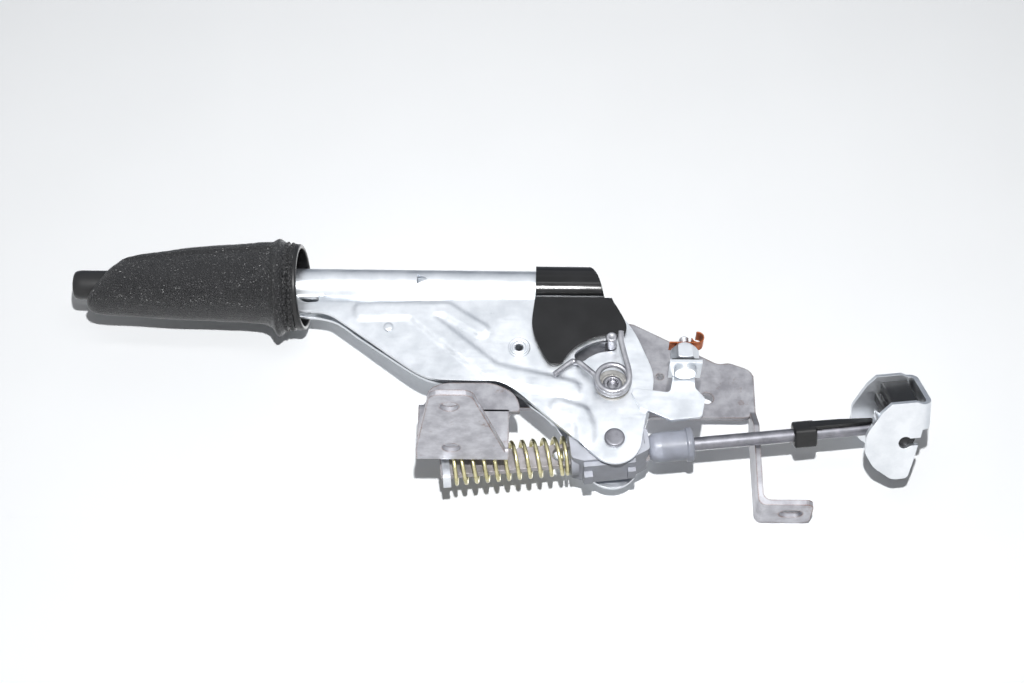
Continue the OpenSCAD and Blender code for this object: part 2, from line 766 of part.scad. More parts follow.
// Pawl: nose above the teeth, hub on its pin, arm up to the release rod
module pawl() {
    nose = polar(tip_r + pass_gap, 170);
    arm_top = [pawl_face_x() + 4, tube_z];
    color("silver") difference() {
        union() {
            upright(-ratchet_t / 2, ratchet_t) union() {
                polygon([nose, nose + [-1.2, 3.4], pawl_at + [5.5, -2], pawl_at + [-4, -4.4], nose + [-4.5, -2.6]]);
                polygon(band([pawl_at, arm_top - [0, 1]], 8));
                translate(pawl_at) circle(r = pawl_hub_r);
            }
            at_xz(pawl_at) bar_y(pawl_hub_r - 1, -inner_half + pass_gap, inner_half - pass_gap);
        }
        at_xz(pawl_at) bar_y(pawl_pin_d / 2 + run_gap, -wall_half, wall_half);
    }
}

// Moulded housing on the clevis pin; the rack slides through it
module adjuster_housing() {
    side = [
        [housing_from, -7], [housing_from + 6, -housing_down], [housing_to - 8, -housing_down], [housing_to, -6],
        [housing_to, 6], [housing_to - 10, housing_up], [housing_from + 5, housing_up], [housing_from, 7]];
    color(steel) on_rod() difference() {
        union() {
            upright(-housing_half, 2 * housing_half) polygon(rounded(side, 2.5));
            bar_x(takeup_od / 2, housing_from, housing_from + 4);
        }
        bar_y(clevis_d / 2 + run_gap, -housing_half - 1, housing_half + 1);
        translate([housing_from - 1, -rack_t / 2 - pass_gap, -rack_w / 2 - pass_gap])
            cube([housing_to - housing_from + 2, rack_t + 2 * pass_gap, rack_w + 2 * pass_gap]);
        translate([-16, -3, rack_w / 2]) cube([8, 6, housing_up]);
        for (x = [6, 10, 14]) translate([x, -housing_half - 1, -3]) cube([1.6, 2, 10]);
    }
}

// Snap-on cover along the underside, with a lug at each end
module adjuster_cover() {
    top = -housing_down;
    color("gray") on_rod() {
        translate([housing_from + 6, -housing_half + 2, top - 2.6])
            cube([housing_to - housing_from - 14, 2 * housing_half - 4, 2.6]);
        translate([housing_from + 6, -4, top - 6]) cube([4.5, 8, 4]);
        translate([housing_to - 12, -4, top - 5]) cube([4, 8, 3]);
    }
}

module adjuster_lock() {
    color("silver") on_rod() translate([-15.6, -2.6, rack_w / 2 + pass_gap]) cube([7.2, 5.2, housing_up - 5.4]);
}

// Flat rack; its slot passes the clevis pin, its top edge is toothed
module adjuster_rack() {
    pitch = 2.5;
    from = rack_from;
    teeth = floor((housing_to - 10 - from) / pitch);
    slot_w = clevis_d + 2 * pass_gap;
    outline = concat(
        [[from, -rack_w / 2], [socket_from, -rack_w / 2], [socket_from, rack_w / 2 - 0.8]],
        [for (i = [teeth : -1 : 0])
            each [[from + 8 + i * pitch, rack_w / 2 - 0.8], [from + 8 + (i - 0.4) * pitch, rack_w / 2]]],
        [[from, rack_w / 2]]);
    color("dimgray") on_rod() upright(-rack_t / 2, rack_t) difference() {
        polygon(outline);
        strip([-rack_travel, 0], [0, 0], slot_w);
    }
}

// End piece that the take-up spring pushes on
module rack_head() {
    color(zinc) on_rod() difference() {
        bar_x(head_r, rack_from + 1, rack_from + head_l);
        translate([rack_from, -rack_t / 2 - seat_gap, -rack_w / 2 - seat_gap])
            cube([head_l + 1, rack_t + 2 * seat_gap, rack_w + 2 * seat_gap]);
        for (s = [-1, 1]) translate([rack_from, s * 10 - 4, -20]) cube([head_l + 1, 8, 40]);
    }
}

// Moulded socket on the rack's end that holds the rod's ball
module rod_socket() {
    color("darkgray") on_rod() difference() {
        union() {
            translate([socket_from, 0, 0]) rotate([0, 90, 0]) rotate_extrude() polygon([
                [0, 0], [6.4, 0], [7.4, 2], [socket_r, 6], [socket_r, socket_to - socket_from - 8],
                [6.2, socket_to - socket_from - 3], [5.6, socket_to - socket_from], [0, socket_to - socket_from]]);
        }
        translate([ball_x, 0, 0]) sphere(r = ball_r + 0.2);
        bar_x(rod_r + run_gap, ball_x, socket_to + 1);
    }
}

module takeup_spring() {
    from = takeup_from + takeup_wire / 2;
    to = housing_from - 0.3 - takeup_wire / 2;
    turns = takeup_turns + 2;
    // Closed end coils, open coils between
    function place(k) = k < 1 ? k * takeup_wire * 1.05
        : k > turns - 1 ? to - from - (turns - k) * takeup_wire * 1.05
        : takeup_wire * 1.05 + (k - 1) * (to - from - 2.1 * takeup_wire) / (turns - 2);
    coil = [for (a = [0 : 20 : 360 * turns])
        let (p = polar(takeup_mean_r, a)) [from + place(a / 360), p.x, p.y]];
    color("goldenrod") on_rod() wire(coil, takeup_wire / 2, [1, 0, 0]);
}

module pull_rod() {
    color("dimgray") on_rod() {
        bar_x(rod_r, ball_x, rod_reach);
        translate([ball_x, 0, 0]) sphere(r = ball_r);
        rotate([yoke_roll, 0, 0]) translate([rod_reach, 0, -barrel_h / 2]) cylinder(r = ball_r, h = barrel_h);
    }
}

// Plastic clip on the rod with a tongue that runs to the equaliser
module rod_clip() {
    color(black) on_rod() rotate([yoke_roll, 0, 0]) difference() {
        union() {
            bar_x(rod_r + 2.6, clip_x - 6, clip_x + 6);
            translate([clip_x - 4, -3.5, rod_r + 0.2]) cube([rod_reach - 16 - clip_x, 7, 2]);
        }
        bar_x(rod_r + seat_gap, clip_x - 7, clip_x + 7);
    }
}

// Equaliser drawn square to the rod, then rolled as it lies
module on_yoke() {
    on_rod() rotate([yoke_roll, 0, 0]) children();
}

module equaliser_yoke() {
    front = yoke_rear - yoke_l;
    h = yoke_h / 2;
    plate = [
        [front, -6], [front + 4, -14], [front + 14, -h], [yoke_rear - 12, -h], [yoke_rear - 7, -8], [yoke_rear, h - 5],
        [yoke_rear - 6, h], [front + 12, h], [front, 6]];
    color(zinc) on_yoke() difference() {
        union() {
            for (s = [0, 1]) mirror([0, s, 0]) upright(-yoke_w / 2, yoke_t) polygon(rounded(plate, 3));
            translate([yoke_rear - yoke_t - 4, -yoke_w / 2, h - 17]) cube([yoke_t, yoke_w, 15]);
        }
        upright(-yoke_w / 2 - 1, yoke_w + 2) union() {
            strip([yoke_rear - 12, -8], [yoke_rear - 2, -8], 4.4);
            translate([yoke_rear - 14, -8]) circle(r = 3.6);
        }
    }
}

// Moulded liner between the side plates; the rod's barrel end turns in it
module equaliser_liner() {
    half = yoke_w / 2 - yoke_t - seat_gap;
    mouth = 2.6;
    color(black) on_yoke() difference() {
        upright(-half, 2 * half) polygon(rounded([
            [rod_reach - 8, -9], [rod_reach + 1, -9], [rod_reach + 6, 3], [rod_reach + 6, 12],
            [rod_reach - 8, 12]], 2));
        translate([rod_reach, 0, -barrel_h / 2 - pass_gap])
            cylinder(r = ball_r + run_gap, h = barrel_h + 2 * pass_gap);
        translate([rod_reach - 12, -rod_r - mouth, -rod_r - pass_gap])
            cube([12, 2 * (rod_r + mouth), 2 * (rod_r + pass_gap)]);
    }
}

// The finished model, with the origin at the front bolt holes
translate(origin_at) {
    base_bracket();
    ratchet_sector();
    pivot_pin();
    stop_stud();
    lever_shell_near();
    lever_shell_far();
    pivot_bushes();
    shell_rivet();
    pawl_pin();
    clevis_pin();
    pivot_cover();
    return_spring();
    switch_arm();
    switch_clip();
    switch_nut();
    switch_stud();
    contact_leaf();
    grip_core();
    grip_leather();
    grip_collar();
    release_button();
    release_rod();
    button_spring();
    pawl();
    adjuster_housing();
    adjuster_cover();
    adjuster_lock();
    adjuster_rack();
    rack_head();
    rod_socket();
    takeup_spring();
    pull_rod();
    rod_clip();
    equaliser_yoke();
    equaliser_liner();
}
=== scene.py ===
"""Looks of a parking brake lever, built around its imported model.

Metal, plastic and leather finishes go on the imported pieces, and the soft grip, its stitching,
the springs and the small turned parts are modelled here in the same frame, in metres.
"""

import json
import math

import bmesh
import bpy
from mathutils import Matrix, Vector, kdtree, noise
from mathutils.geometry import delaunay_2d_cdt


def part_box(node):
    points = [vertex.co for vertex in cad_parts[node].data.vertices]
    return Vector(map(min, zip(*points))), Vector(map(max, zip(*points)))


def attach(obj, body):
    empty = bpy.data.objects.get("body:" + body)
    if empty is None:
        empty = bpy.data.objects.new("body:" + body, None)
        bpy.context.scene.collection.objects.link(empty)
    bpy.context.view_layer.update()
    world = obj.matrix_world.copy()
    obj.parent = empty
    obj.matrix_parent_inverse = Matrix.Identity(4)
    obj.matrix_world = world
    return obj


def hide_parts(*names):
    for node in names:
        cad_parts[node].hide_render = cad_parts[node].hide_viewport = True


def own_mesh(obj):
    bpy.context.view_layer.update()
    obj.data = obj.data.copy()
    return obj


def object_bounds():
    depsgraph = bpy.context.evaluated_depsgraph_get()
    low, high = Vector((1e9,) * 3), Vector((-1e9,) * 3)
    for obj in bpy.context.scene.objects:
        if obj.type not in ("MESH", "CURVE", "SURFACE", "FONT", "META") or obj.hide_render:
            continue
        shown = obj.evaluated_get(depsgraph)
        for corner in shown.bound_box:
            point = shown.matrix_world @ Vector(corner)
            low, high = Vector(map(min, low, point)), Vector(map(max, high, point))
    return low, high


bl_info = {
    "name": "Parking Brake Lever",
    "version": (1, 0, 0),
    "blender": (4, 5, 0),
    "location": "View3D > Sidebar > Brake Lever",
    "description": "Dresses a parking brake lever in zinc, bare steel, plastic and leather",
    "category": "Object",
}

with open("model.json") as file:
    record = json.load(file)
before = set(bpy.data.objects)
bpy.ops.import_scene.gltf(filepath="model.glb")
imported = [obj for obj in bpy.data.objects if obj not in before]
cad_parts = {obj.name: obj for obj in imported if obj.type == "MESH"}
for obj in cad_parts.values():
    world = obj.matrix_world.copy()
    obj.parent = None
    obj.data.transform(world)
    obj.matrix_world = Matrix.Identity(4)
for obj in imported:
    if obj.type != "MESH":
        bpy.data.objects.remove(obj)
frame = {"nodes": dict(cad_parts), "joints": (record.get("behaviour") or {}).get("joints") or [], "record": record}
NODES = frame["nodes"]
CAD_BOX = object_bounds()
JOINTS = {j["name"]: j for j in frame["joints"]}
MM = 0.001

# Pivots and axes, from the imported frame
PIVOT = Vector(JOINTS["lever_pull"]["pos_m"])
CLEVIS = Vector(JOINTS["adjuster_swing"]["pos_m"])
PAWL = Vector(JOINTS["pawl_turn"]["pos_m"])
ROD_DIR = Vector(JOINTS["rack_slide"]["axis"]).normalized()
TUBE_Z = sum(c[2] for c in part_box("release_rod")) / 2
GRIP_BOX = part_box("grip_leather")
COLLAR_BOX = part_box("grip_collar")

# The photograph's frame, and where the main pivot shows in it
PHOTO_W, PHOTO_H = 1024, 683
PIVOT_PX = (611.0, 399.0)


def linear(hex_colour):
    """Scene-linear RGBA of an sRGB hex colour."""
    parts = [int(hex_colour[i : i + 2], 16) / 255 for i in (1, 3, 5)]
    rgb = [c / 12.92 if c <= 0.04045 else ((c + 0.055) / 1.055) ** 2.4 for c in parts]
    return (*rgb, 1.0)


def colour(label, hex_colour):
    return bpy.props.FloatVectorProperty(
        name=label, description=f"{label} of the finish", subtype="COLOR", size=4, min=0.0, max=1.0,
        default=linear(hex_colour),
    )


def length(label, text, value):
    return bpy.props.FloatProperty(name=label, description=text, default=value, unit="LENGTH", precision=5)


def angle(label, text, degrees):
    return bpy.props.FloatProperty(
        name=label, description=text, default=math.radians(degrees), subtype="ANGLE"
    )


class BrakeLeverFinishes(bpy.types.PropertyGroup):
    """Colours of the finishes."""

    zinc: colour("Zinc plate", "#E4E7EB")
    zinc_haze: colour("Zinc haze", "#D3D7DC")
    bare_steel: colour("Bare steel", "#C8C8CD")
    mill_scale: colour("Mill scale", "#A9A8AE")
    rust: colour("Rust", "#8A6A58")
    dark_steel: colour("Phosphated steel", "#8C8C92")
    rack_steel: colour("Rack steel", "#B2AEB2")
    hard_steel: colour("Hardened steel", "#B9B9BD")
    yellow_zinc: colour("Yellow zinc", "#D8D1A8")
    olive_zinc: colour("Olive zinc", "#AFA97F")
    copper: colour("Copper", "#C8784E")
    copper_tarnish: colour("Copper tarnish", "#8A4C2E")
    black_abs: colour("Black plastic", "#09090B")
    grey_nylon: colour("Grey nylon", "#B0B3BC")
    pale_nylon: colour("Pale nylon", "#AEB2BE")
    leather: colour("Leather", "#19191B")
    thread: colour("Thread", "#1B1B1E")


class BrakeLeverSizes(bpy.types.PropertyGroup):
    """Sizes of what is modelled here."""

    leather: length("Leather", "Thickness of the leather", 1.3 * MM)
    stitch: length("Stitch", "Distance from stitch to stitch", 3.2 * MM)
    thread: length("Thread", "Diameter of the thread", 1.2 * MM)
    takeup_wire: length("Take-up wire", "Wire of the take-up spring", 2.0 * MM)
    return_wire: length("Return wire", "Wire of the return spring", 3.0 * MM)


def finishes():
    return bpy.context.scene.brake_lever_finishes


def sizes():
    return bpy.context.scene.brake_lever_sizes


def add(tree, kind, sockets=None, stops=None, **settings):
    """Adds a node; a socket takes a value, another node's output, or a node for its first output."""
    made = tree.nodes.new(kind)
    for key, value in settings.items():
        setattr(made, key, value)
    for key, value in (sockets or {}).items():
        if isinstance(value, bpy.types.Node):
            value = value.outputs[0]
        if isinstance(value, bpy.types.NodeSocket):
            tree.links.new(value, made.inputs[key])
        else:
            made.inputs[key].default_value = value
    if stops:
        elements = made.color_ramp.elements
        while len(elements) < len(stops):
            elements.new(0.5)
        for element, (position, rgba) in zip(elements, stops):
            element.position = position
            element.color = rgba
    return made


def new_material(name):
    """Empty material, its tree and the Object coordinates in it."""
    material = bpy.data.materials.new(name)
    material.use_nodes = True
    tree = material.node_tree
    tree.nodes.clear()
    place = add(tree, "ShaderNodeTexCoord").outputs["Object"]
    return material, tree, place


def close_material(tree, shader):
    add(tree, "ShaderNodeOutputMaterial", {"Surface": shader})


def grey(level):
    return (level, level, level, 1.0)


def per_mm(size_mm):
    """Texture scale at which one feature is about size_mm wide, on coordinates in metres."""
    return 1.0 / (size_mm * MM)


def sheet_metal(name, base, second, roughness, streak_mm, mottle_mm, scuff=0.12, edge_mm=0.35):
    """Plated or bare steel: rolling streaks along the strip, cloudy plating and fine scuffs."""
    material, tree, place = new_material(name)
    stretched = add(tree, "ShaderNodeMapping", {"Vector": place, "Scale": (0.12, 1, 1)})
    streak = add(
        tree, "ShaderNodeTexNoise",
        {"Vector": stretched, "Scale": per_mm(streak_mm), "Detail": 6.0, "Roughness": 0.6},
    )
    cloud = add(
        tree, "ShaderNodeTexNoise",
        {"Vector": place, "Scale": per_mm(mottle_mm), "Detail": 6.0, "Roughness": 0.62},
    )
    scratch = add(
        tree, "ShaderNodeTexNoise", {"Vector": place, "Scale": per_mm(0.9), "Detail": 4.0, "Roughness": 0.7}
    )
    tone = add(tree, "ShaderNodeValToRGB", {"Fac": cloud}, stops=[(0.36, second), (0.62, base)])
    satin = add(
        tree, "ShaderNodeMapRange", {0: streak, 1: 0.3, 2: 0.7, 3: roughness - 0.07, 4: roughness + 0.07}
    )
    scuffs = add(tree, "ShaderNodeMapRange", {0: cloud, 1: 0.3, 2: 0.7, 3: -0.05, 4: scuff})
    rough = add(tree, "ShaderNodeMath", {0: satin, 1: scuffs}, operation="ADD", use_clamp=True)
    rounded = add(tree, "ShaderNodeBevel", {"Radius": edge_mm * MM}, samples=4)
    grain = add(
        tree, "ShaderNodeBump", {"Height": streak, "Strength": 0.1, "Distance": 0.05 * MM, "Normal": rounded}
    )
    fine = add(
        tree, "ShaderNodeBump", {"Height": scratch, "Strength": 0.12, "Distance": 0.04 * MM, "Normal": grain}
    )
    shader = add(
        tree, "ShaderNodeBsdfPrincipled",
        {"Base Color": tone, "Metallic": 1.0, "Roughness": rough, "Normal": fine},
    )
    close_material(tree, shader)
    return material, tree, shader


def rust_on(tree, shader, tint, patch_from, patch_to, edge_share):
    """Brown tint on cut edges and in patches; edges are found where a wide bevel turns the normal."""
    place = add(tree, "ShaderNodeTexCoord").outputs["Object"]
    patchy = add(
        tree, "ShaderNodeTexNoise", {"Vector": place, "Scale": per_mm(12.0), "Detail": 8.0, "Roughness": 0.7}
    )
    wide = add(tree, "ShaderNodeBevel", {"Radius": 1.6 * MM}, samples=6)
    flat = add(tree, "ShaderNodeNewGeometry").outputs["Normal"]
    turn = add(tree, "ShaderNodeVectorMath", {0: wide, 1: flat}, operation="DOT_PRODUCT").outputs["Value"]
    edge = add(tree, "ShaderNodeMapRange", {0: turn, 1: 0.995, 2: 0.82, 3: 0.0, 4: edge_share})
    patch = add(tree, "ShaderNodeMapRange", {0: patchy, 1: patch_from, 2: patch_to, 3: 0.0, 4: 0.8})
    broken = add(tree, "ShaderNodeMapRange", {0: patchy, 1: 0.36, 2: 0.6, 3: 0.1, 4: 1.0})
    edges = add(tree, "ShaderNodeMath", {0: edge, 1: broken}, operation="MULTIPLY")
    amount = add(tree, "ShaderNodeMath", {0: patch, 1: edges}, operation="MAXIMUM", use_clamp=True)
    tone = shader.inputs["Base Color"].links[0].from_socket
    mixed = add(tree, "ShaderNodeMix", {0: amount, 6: tone, 7: tint}, data_type="RGBA")
    tree.links.new(mixed.outputs[2], shader.inputs["Base Color"])
    shine = shader.inputs["Roughness"].links[0].from_socket
    dull = add(
        tree, "ShaderNodeMath",
        {0: amount, 1: 0.22, 2: shine}, operation="MULTIPLY_ADD", use_clamp=True,
    )
    tree.links.new(dull.outputs[0], shader.inputs["Roughness"])


def painted_shade_above(tree, shader, height, share):
    """Darkens a metal above a height: painted shade, for upper parts that sit in the lever's shade."""
    place = add(tree, "ShaderNodeTexCoord").outputs["Object"]
    level = add(tree, "ShaderNodeSeparateXYZ", {"Vector": place}).outputs["Z"]
    level = add(
        tree, "ShaderNodeMapRange",
        {0: level, 1: height - 12 * MM, 2: height + 8 * MM, 3: 1.0, 4: share},
    )
    tone = shader.inputs["Base Color"].links[0].from_socket
    shaded_tone = add(tree, "ShaderNodeVectorMath", {0: tone, "Scale": level.outputs[0]}, operation="SCALE")
    tree.links.new(shaded_tone.outputs[0], shader.inputs["Base Color"])


def moulded_plastic(name, base, roughness, grain_mm, bump, clear=0.0):
    """Injection-moulded plastic with a fine eroded grain and slightly uneven gloss."""
    material, tree, place = new_material(name)
    grain = add(tree, "ShaderNodeTexNoise", {"Vector": place, "Scale": per_mm(grain_mm), "Detail": 3.0})
    cloud = add(tree, "ShaderNodeTexNoise", {"Vector": place, "Scale": per_mm(9.0), "Detail": 5.0})
    lighter = tuple(min(1.0, c * 1.3 + 0.003) for c in base[:3]) + (1.0,)
    tone = add(tree, "ShaderNodeValToRGB", {"Fac": cloud}, stops=[(0.35, tuple(base)), (0.72, lighter)])
    rounded = add(tree, "ShaderNodeBevel", {"Radius": 0.45 * MM}, samples=4)
    surface = add(
        tree, "ShaderNodeBump", {"Height": grain, "Strength": bump, "Distance": 0.05 * MM, "Normal": rounded}
    )
    rough = add(
        tree, "ShaderNodeMapRange", {0: cloud, 1: 0.3, 2: 0.7, 3: roughness - 0.06, 4: roughness + 0.08}
    )
    shader = add(
        tree, "ShaderNodeBsdfPrincipled",
        {
            "Base Color": tone,
            "Roughness": rough,
            "IOR": 1.49,
            "Transmission Weight": clear,
            "Normal": surface,
        },
    )
    close_material(tree, shader)
    return material


def glossy_cover_plastic(name):
    """Black ABS saddle: polished over the tube and shoulder, fine satin on the flat flaps below."""
    colours = finishes()
    material, tree, place = new_material(name)
    height = add(tree, "ShaderNodeSeparateXYZ", {"Vector": place}).outputs["Z"]
    grain = add(tree, "ShaderNodeTexNoise", {"Vector": place, "Scale": per_mm(0.6), "Detail": 3.0})
    cloud = add(tree, "ShaderNodeTexNoise", {"Vector": place, "Scale": per_mm(14.0), "Detail": 6.0})
    crease = TUBE_Z - 15.0 * MM
    polished = add(tree, "ShaderNodeMapRange", {0: height, 1: crease - 0.4 * MM, 2: crease + 0.4 * MM})
    satin = add(tree, "ShaderNodeMapRange", {0: polished, 3: 0.36, 4: 0.13})
    uneven = add(tree, "ShaderNodeMapRange", {0: cloud, 1: 0.3, 2: 0.7, 3: -0.04, 4: 0.07})
    rough = add(tree, "ShaderNodeMath", {0: satin, 1: uneven}, operation="ADD")
    depth = add(tree, "ShaderNodeMapRange", {0: polished, 3: 0.35, 4: 0.03})
    lighter = tuple(c * 2.2 + 0.002 for c in tuple(colours.black_abs)[:3]) + (1.0,)
    tone = add(
        tree, "ShaderNodeValToRGB", {"Fac": cloud}, stops=[(0.4, tuple(colours.black_abs)), (0.75, lighter)]
    )
    rounded = add(tree, "ShaderNodeBevel", {"Radius": 0.7 * MM}, samples=6)
    surface = add(
        tree, "ShaderNodeBump", {"Height": grain, "Strength": depth, "Distance": 0.06 * MM, "Normal": rounded}
    )
    shader = add(
        tree, "ShaderNodeBsdfPrincipled",
        {"Base Color": tone, "Roughness": rough, "Specular IOR Level": 0.4, "Normal": surface},
    )
    close_material(tree, shader)
    return material


def grained_leather(name):
    """Chrome-tanned black cowhide with an embossed pebble grain about a millimetre wide."""
    colours = finishes()
    material, tree, place = new_material(name)
    bend = add(tree, "ShaderNodeTexNoise", {"Vector": place, "Scale": per_mm(2.5), "Detail": 2.0})
    shift = add(
        tree, "ShaderNodeVectorMath", {0: bend.outputs["Color"], "Scale": 0.9 * MM}, operation="SCALE"
    )
    warped = add(tree, "ShaderNodeVectorMath", {0: place, 1: shift}, operation="ADD")
    pebble = add(
        tree, "ShaderNodeTexVoronoi", {"Vector": warped, "Scale": per_mm(1.3)}, feature="DISTANCE_TO_EDGE"
    )
    pebbles = add(tree, "ShaderNodeMapRange", {0: pebble, 1: 0.0, 2: 0.26, 3: 0.0, 4: 1.0})
    pores = add(tree, "ShaderNodeTexNoise", {"Vector": place, "Scale": per_mm(0.5), "Detail": 4.0})
    worn = add(
        tree, "ShaderNodeTexNoise", {"Vector": place, "Scale": per_mm(13.0), "Detail": 6.0, "Roughness": 0.62}
    )
    skin = add(
        tree, "ShaderNodeValToRGB",
        {"Fac": worn}, stops=[(0.3, linear("#0E0E10")), (0.7, tuple(colours.leather))],
    )
    # Pebble tops are painted paler than the furrows: painted highlight on the pebbles, painted shade in the
    # furrows
    pebble_highlight = add(tree, "ShaderNodeMapRange", {0: pebbles, 3: 0.0, 4: 0.22})
    tone = add(tree, "ShaderNodeMix", {0: pebble_highlight, 6: skin.outputs[0], 7: linear("#3C3D41")}, data_type="RGBA")
    rounded = add(tree, "ShaderNodeBump", {"Height": pebbles, "Strength": 1.0, "Distance": 0.4 * MM})
    surface = add(
        tree, "ShaderNodeBump", {"Height": pores, "Strength": 0.22, "Distance": 0.05 * MM, "Normal": rounded}
    )
    rough = add(tree, "ShaderNodeMapRange", {0: worn, 1: 0.3, 2: 0.7, 3: 0.3, 4: 0.42})
    shader = add(
        tree, "ShaderNodeBsdfPrincipled",
        {
            "Base Color": tone.outputs[2],
            "Roughness": rough,
            "IOR": 1.5,
            "Sheen Weight": 0.05,
            "Normal": surface,
        },
    )
    close_material(tree, shader)
    return material


def sewing_thread(name):
    """Bonded polyester thread: dull, with the fine turns of its ply."""
    colours = finishes()
    material, tree, place = new_material(name)
    ply = add(tree, "ShaderNodeTexNoise", {"Vector": place, "Scale": per_mm(0.3), "Detail": 2.0})
    bump = add(tree, "ShaderNodeBump", {"Height": ply, "Strength": 0.4, "Distance": 0.1 * MM})
    tone = add(
        tree, "ShaderNodeValToRGB",
        {"Fac": ply}, stops=[(0.3, linear("#0E0E10")), (0.7, tuple(colours.thread))],
    )
    shader = add(
        tree, "ShaderNodeBsdfPrincipled",
        {"Base Color": tone, "Roughness": 0.55, "Sheen Weight": 0.2, "Normal": bump},
    )
    close_material(tree, shader)
    return material


FINISH = {}


def make_finishes():
    """Every finish, once."""
    c = finishes()
    # Name, two tones, roughness, and the widths of streaks and clouds in millimetres
    metals = {
        "zinc": ("zinc_plated_steel", c.zinc, c.zinc_haze, 0.36, 1.2, 16.0),
        "dark_steel": ("phosphated_steel", c.dark_steel, linear("#77777D"), 0.42, 0.8, 6.0),
        "rack_steel": ("blued_rack_steel", c.rack_steel, linear("#979390"), 0.44, 0.8, 5.0),
        "hard_steel": ("hardened_steel", c.hard_steel, linear("#98989E"), 0.3, 0.9, 7.0),
        "bush_metal": ("sintered_bush", linear("#BEBCB9"), linear("#A19F9B"), 0.46, 0.6, 3.0),
        "yellow_zinc": ("yellow_chromate_zinc", c.yellow_zinc, c.olive_zinc, 0.28, 1.5, 5.0),
        "copper": ("rolled_copper", c.copper, c.copper_tarnish, 0.34, 0.8, 4.0, 0.12, 0.1),
    }
    for slot, values in metals.items():
        FINISH[slot] = sheet_metal(*values)[0]
    rolled = ("bare_rolled_steel", c.bare_steel, c.mill_scale, 0.46, 1.4, 8.0, 0.16)
    material, tree, shader = sheet_metal(*rolled)
    rust_on(tree, shader, c.rust, 0.6, 0.76, 0.85)
    # Painted shade: the bare steel is darkened above the clevis pin's height
    painted_shade_above(tree, shader, CLEVIS.z, 0.66)
    FINISH["bare_steel"] = material
    FINISH["black_plastic"] = moulded_plastic("black_moulded_abs", c.black_abs, 0.38, 0.5, 0.3)
    FINISH["cover"] = glossy_cover_plastic("polished_black_abs")
    FINISH["grey_plastic"] = moulded_plastic("dark_grey_nylon", c.grey_nylon, 0.46, 0.5, 0.35)
    FINISH["pale_plastic"] = moulded_plastic("clouded_grey_nylon", c.pale_nylon, 0.34, 0.5, 0.25, clear=0.35)
    FINISH["leather"] = grained_leather("grained_cowhide")
    FINISH["thread"] = sewing_thread("bonded_thread")


def dress(node, finish):
    """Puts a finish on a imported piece."""
    slots = NODES[node].data.materials
    slots.clear()
    slots.append(FINISH[finish])


def linked(name, data):
    """New object for a mesh, lamp or camera, in the scene."""
    made = bpy.data.objects.new(name, data)
    bpy.context.scene.collection.objects.link(made)
    return made


def new_piece(name, mesh, body, slot, *nodes):
    """Links a finished mesh as a piece that rides on a body and stands for nodes."""
    piece = linked(name, mesh)
    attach(piece, body)
    if nodes:
        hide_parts(*nodes)
    return piece


def solid_piece(name, meshes, body, slot, *nodes, finish=None):
    """Links several meshes as one piece in one finish, which is its slot's unless another is given."""
    return new_piece(name, joined(meshes, finish or slot), body, slot, *nodes)


def crisp(mesh, degrees=32):
    """Smooth shading with edges kept where faces meet at more than an angle."""
    mesh.polygons.foreach_set("use_smooth", [True] * len(mesh.polygons))
    mesh.set_sharp_from_angle(angle=math.radians(degrees))
    return mesh


def baked(work):
    """Plain mesh of a working object with its modifiers applied; the working object goes."""
    graph = bpy.context.evaluated_depsgraph_get()
    mesh = bpy.data.meshes.new_from_object(work.evaluated_get(graph))
    bpy.data.objects.remove(work)
    return mesh


def thickened(mesh, thickness, even=False):
    """Sheet with a wall of a thickness in metres behind its faces."""
    work = linked("sheet", mesh)
    wall = work.modifiers.new("wall", "SOLIDIFY")
    wall.thickness = thickness
    wall.offset = -1
    wall.use_even_offset = even
    return baked(work)


def path_object(points, closed=False):
    """Working object with one polyline through points."""
    mesh = bpy.data.meshes.new("path")
    edges = [(i, i + 1) for i in range(len(points) - 1)]
    if closed:
        edges.append((len(points) - 1, 0))
    mesh.from_pydata([tuple(p) for p in points], edges, [])
    return linked("path", mesh)


def run_tree(work, tree, values):
    """Runs a Geometry Nodes tree on a working object and gives the plain mesh."""
    modifier = work.modifiers.new("shape", "NODES")
    modifier.node_group = tree
    for item in tree.interface.items_tree:
        if item.item_type == "SOCKET" and item.in_out == "INPUT" and item.name in values:
            modifier[item.identifier] = values[item.name]
    return baked(work)


def new_tree(name, inputs):
    """Geometry Nodes tree with a geometry input and output and named inputs of (kind, default)."""
    tree = bpy.data.node_groups.new(name, "GeometryNodeTree")
    tree.interface.new_socket("Geometry", in_out="INPUT", socket_type="NodeSocketGeometry")
    for label, (kind, value) in inputs.items():
        made = tree.interface.new_socket(label, in_out="INPUT", socket_type=kind)
        if value is not None:
            made.default_value = value
    tree.interface.new_socket("Geometry", in_out="OUTPUT", socket_type="NodeSocketGeometry")
    return tree, tree.nodes.new("NodeGroupInput")


def wire_tree():
    """Round wire with closed ends along a path."""
    tree, given = new_tree(
        "wire_along_path",
        {
            "Radius": ("NodeSocketFloat", MM), "Sides": ("NodeSocketInt", 16),
            "Material": ("NodeSocketMaterial", None),
        },
    )
    curve = add(tree, "GeometryNodeMeshToCurve", {"Mesh": given.outputs["Geometry"]})
    section = add(
        tree, "GeometryNodeCurvePrimitiveCircle",
        {"Resolution": given.outputs["Sides"], "Radius": given.outputs["Radius"]}, mode="RADIUS",
    )
    tube = add(tree, "GeometryNodeCurveToMesh", {"Curve": curve, "Profile Curve": section, "Fill Caps": True})
    shade = add(tree, "GeometryNodeSetShadeSmooth", {"Geometry": tube, "Shade Smooth": True})
    real = add(tree, "GeometryNodeRealizeInstances", {"Geometry": shade})
    paint = add(tree, "GeometryNodeSetMaterial", {"Geometry": real, "Material": given.outputs["Material"]})
    add(tree, "NodeGroupOutput", {"Geometry": paint})
    return tree


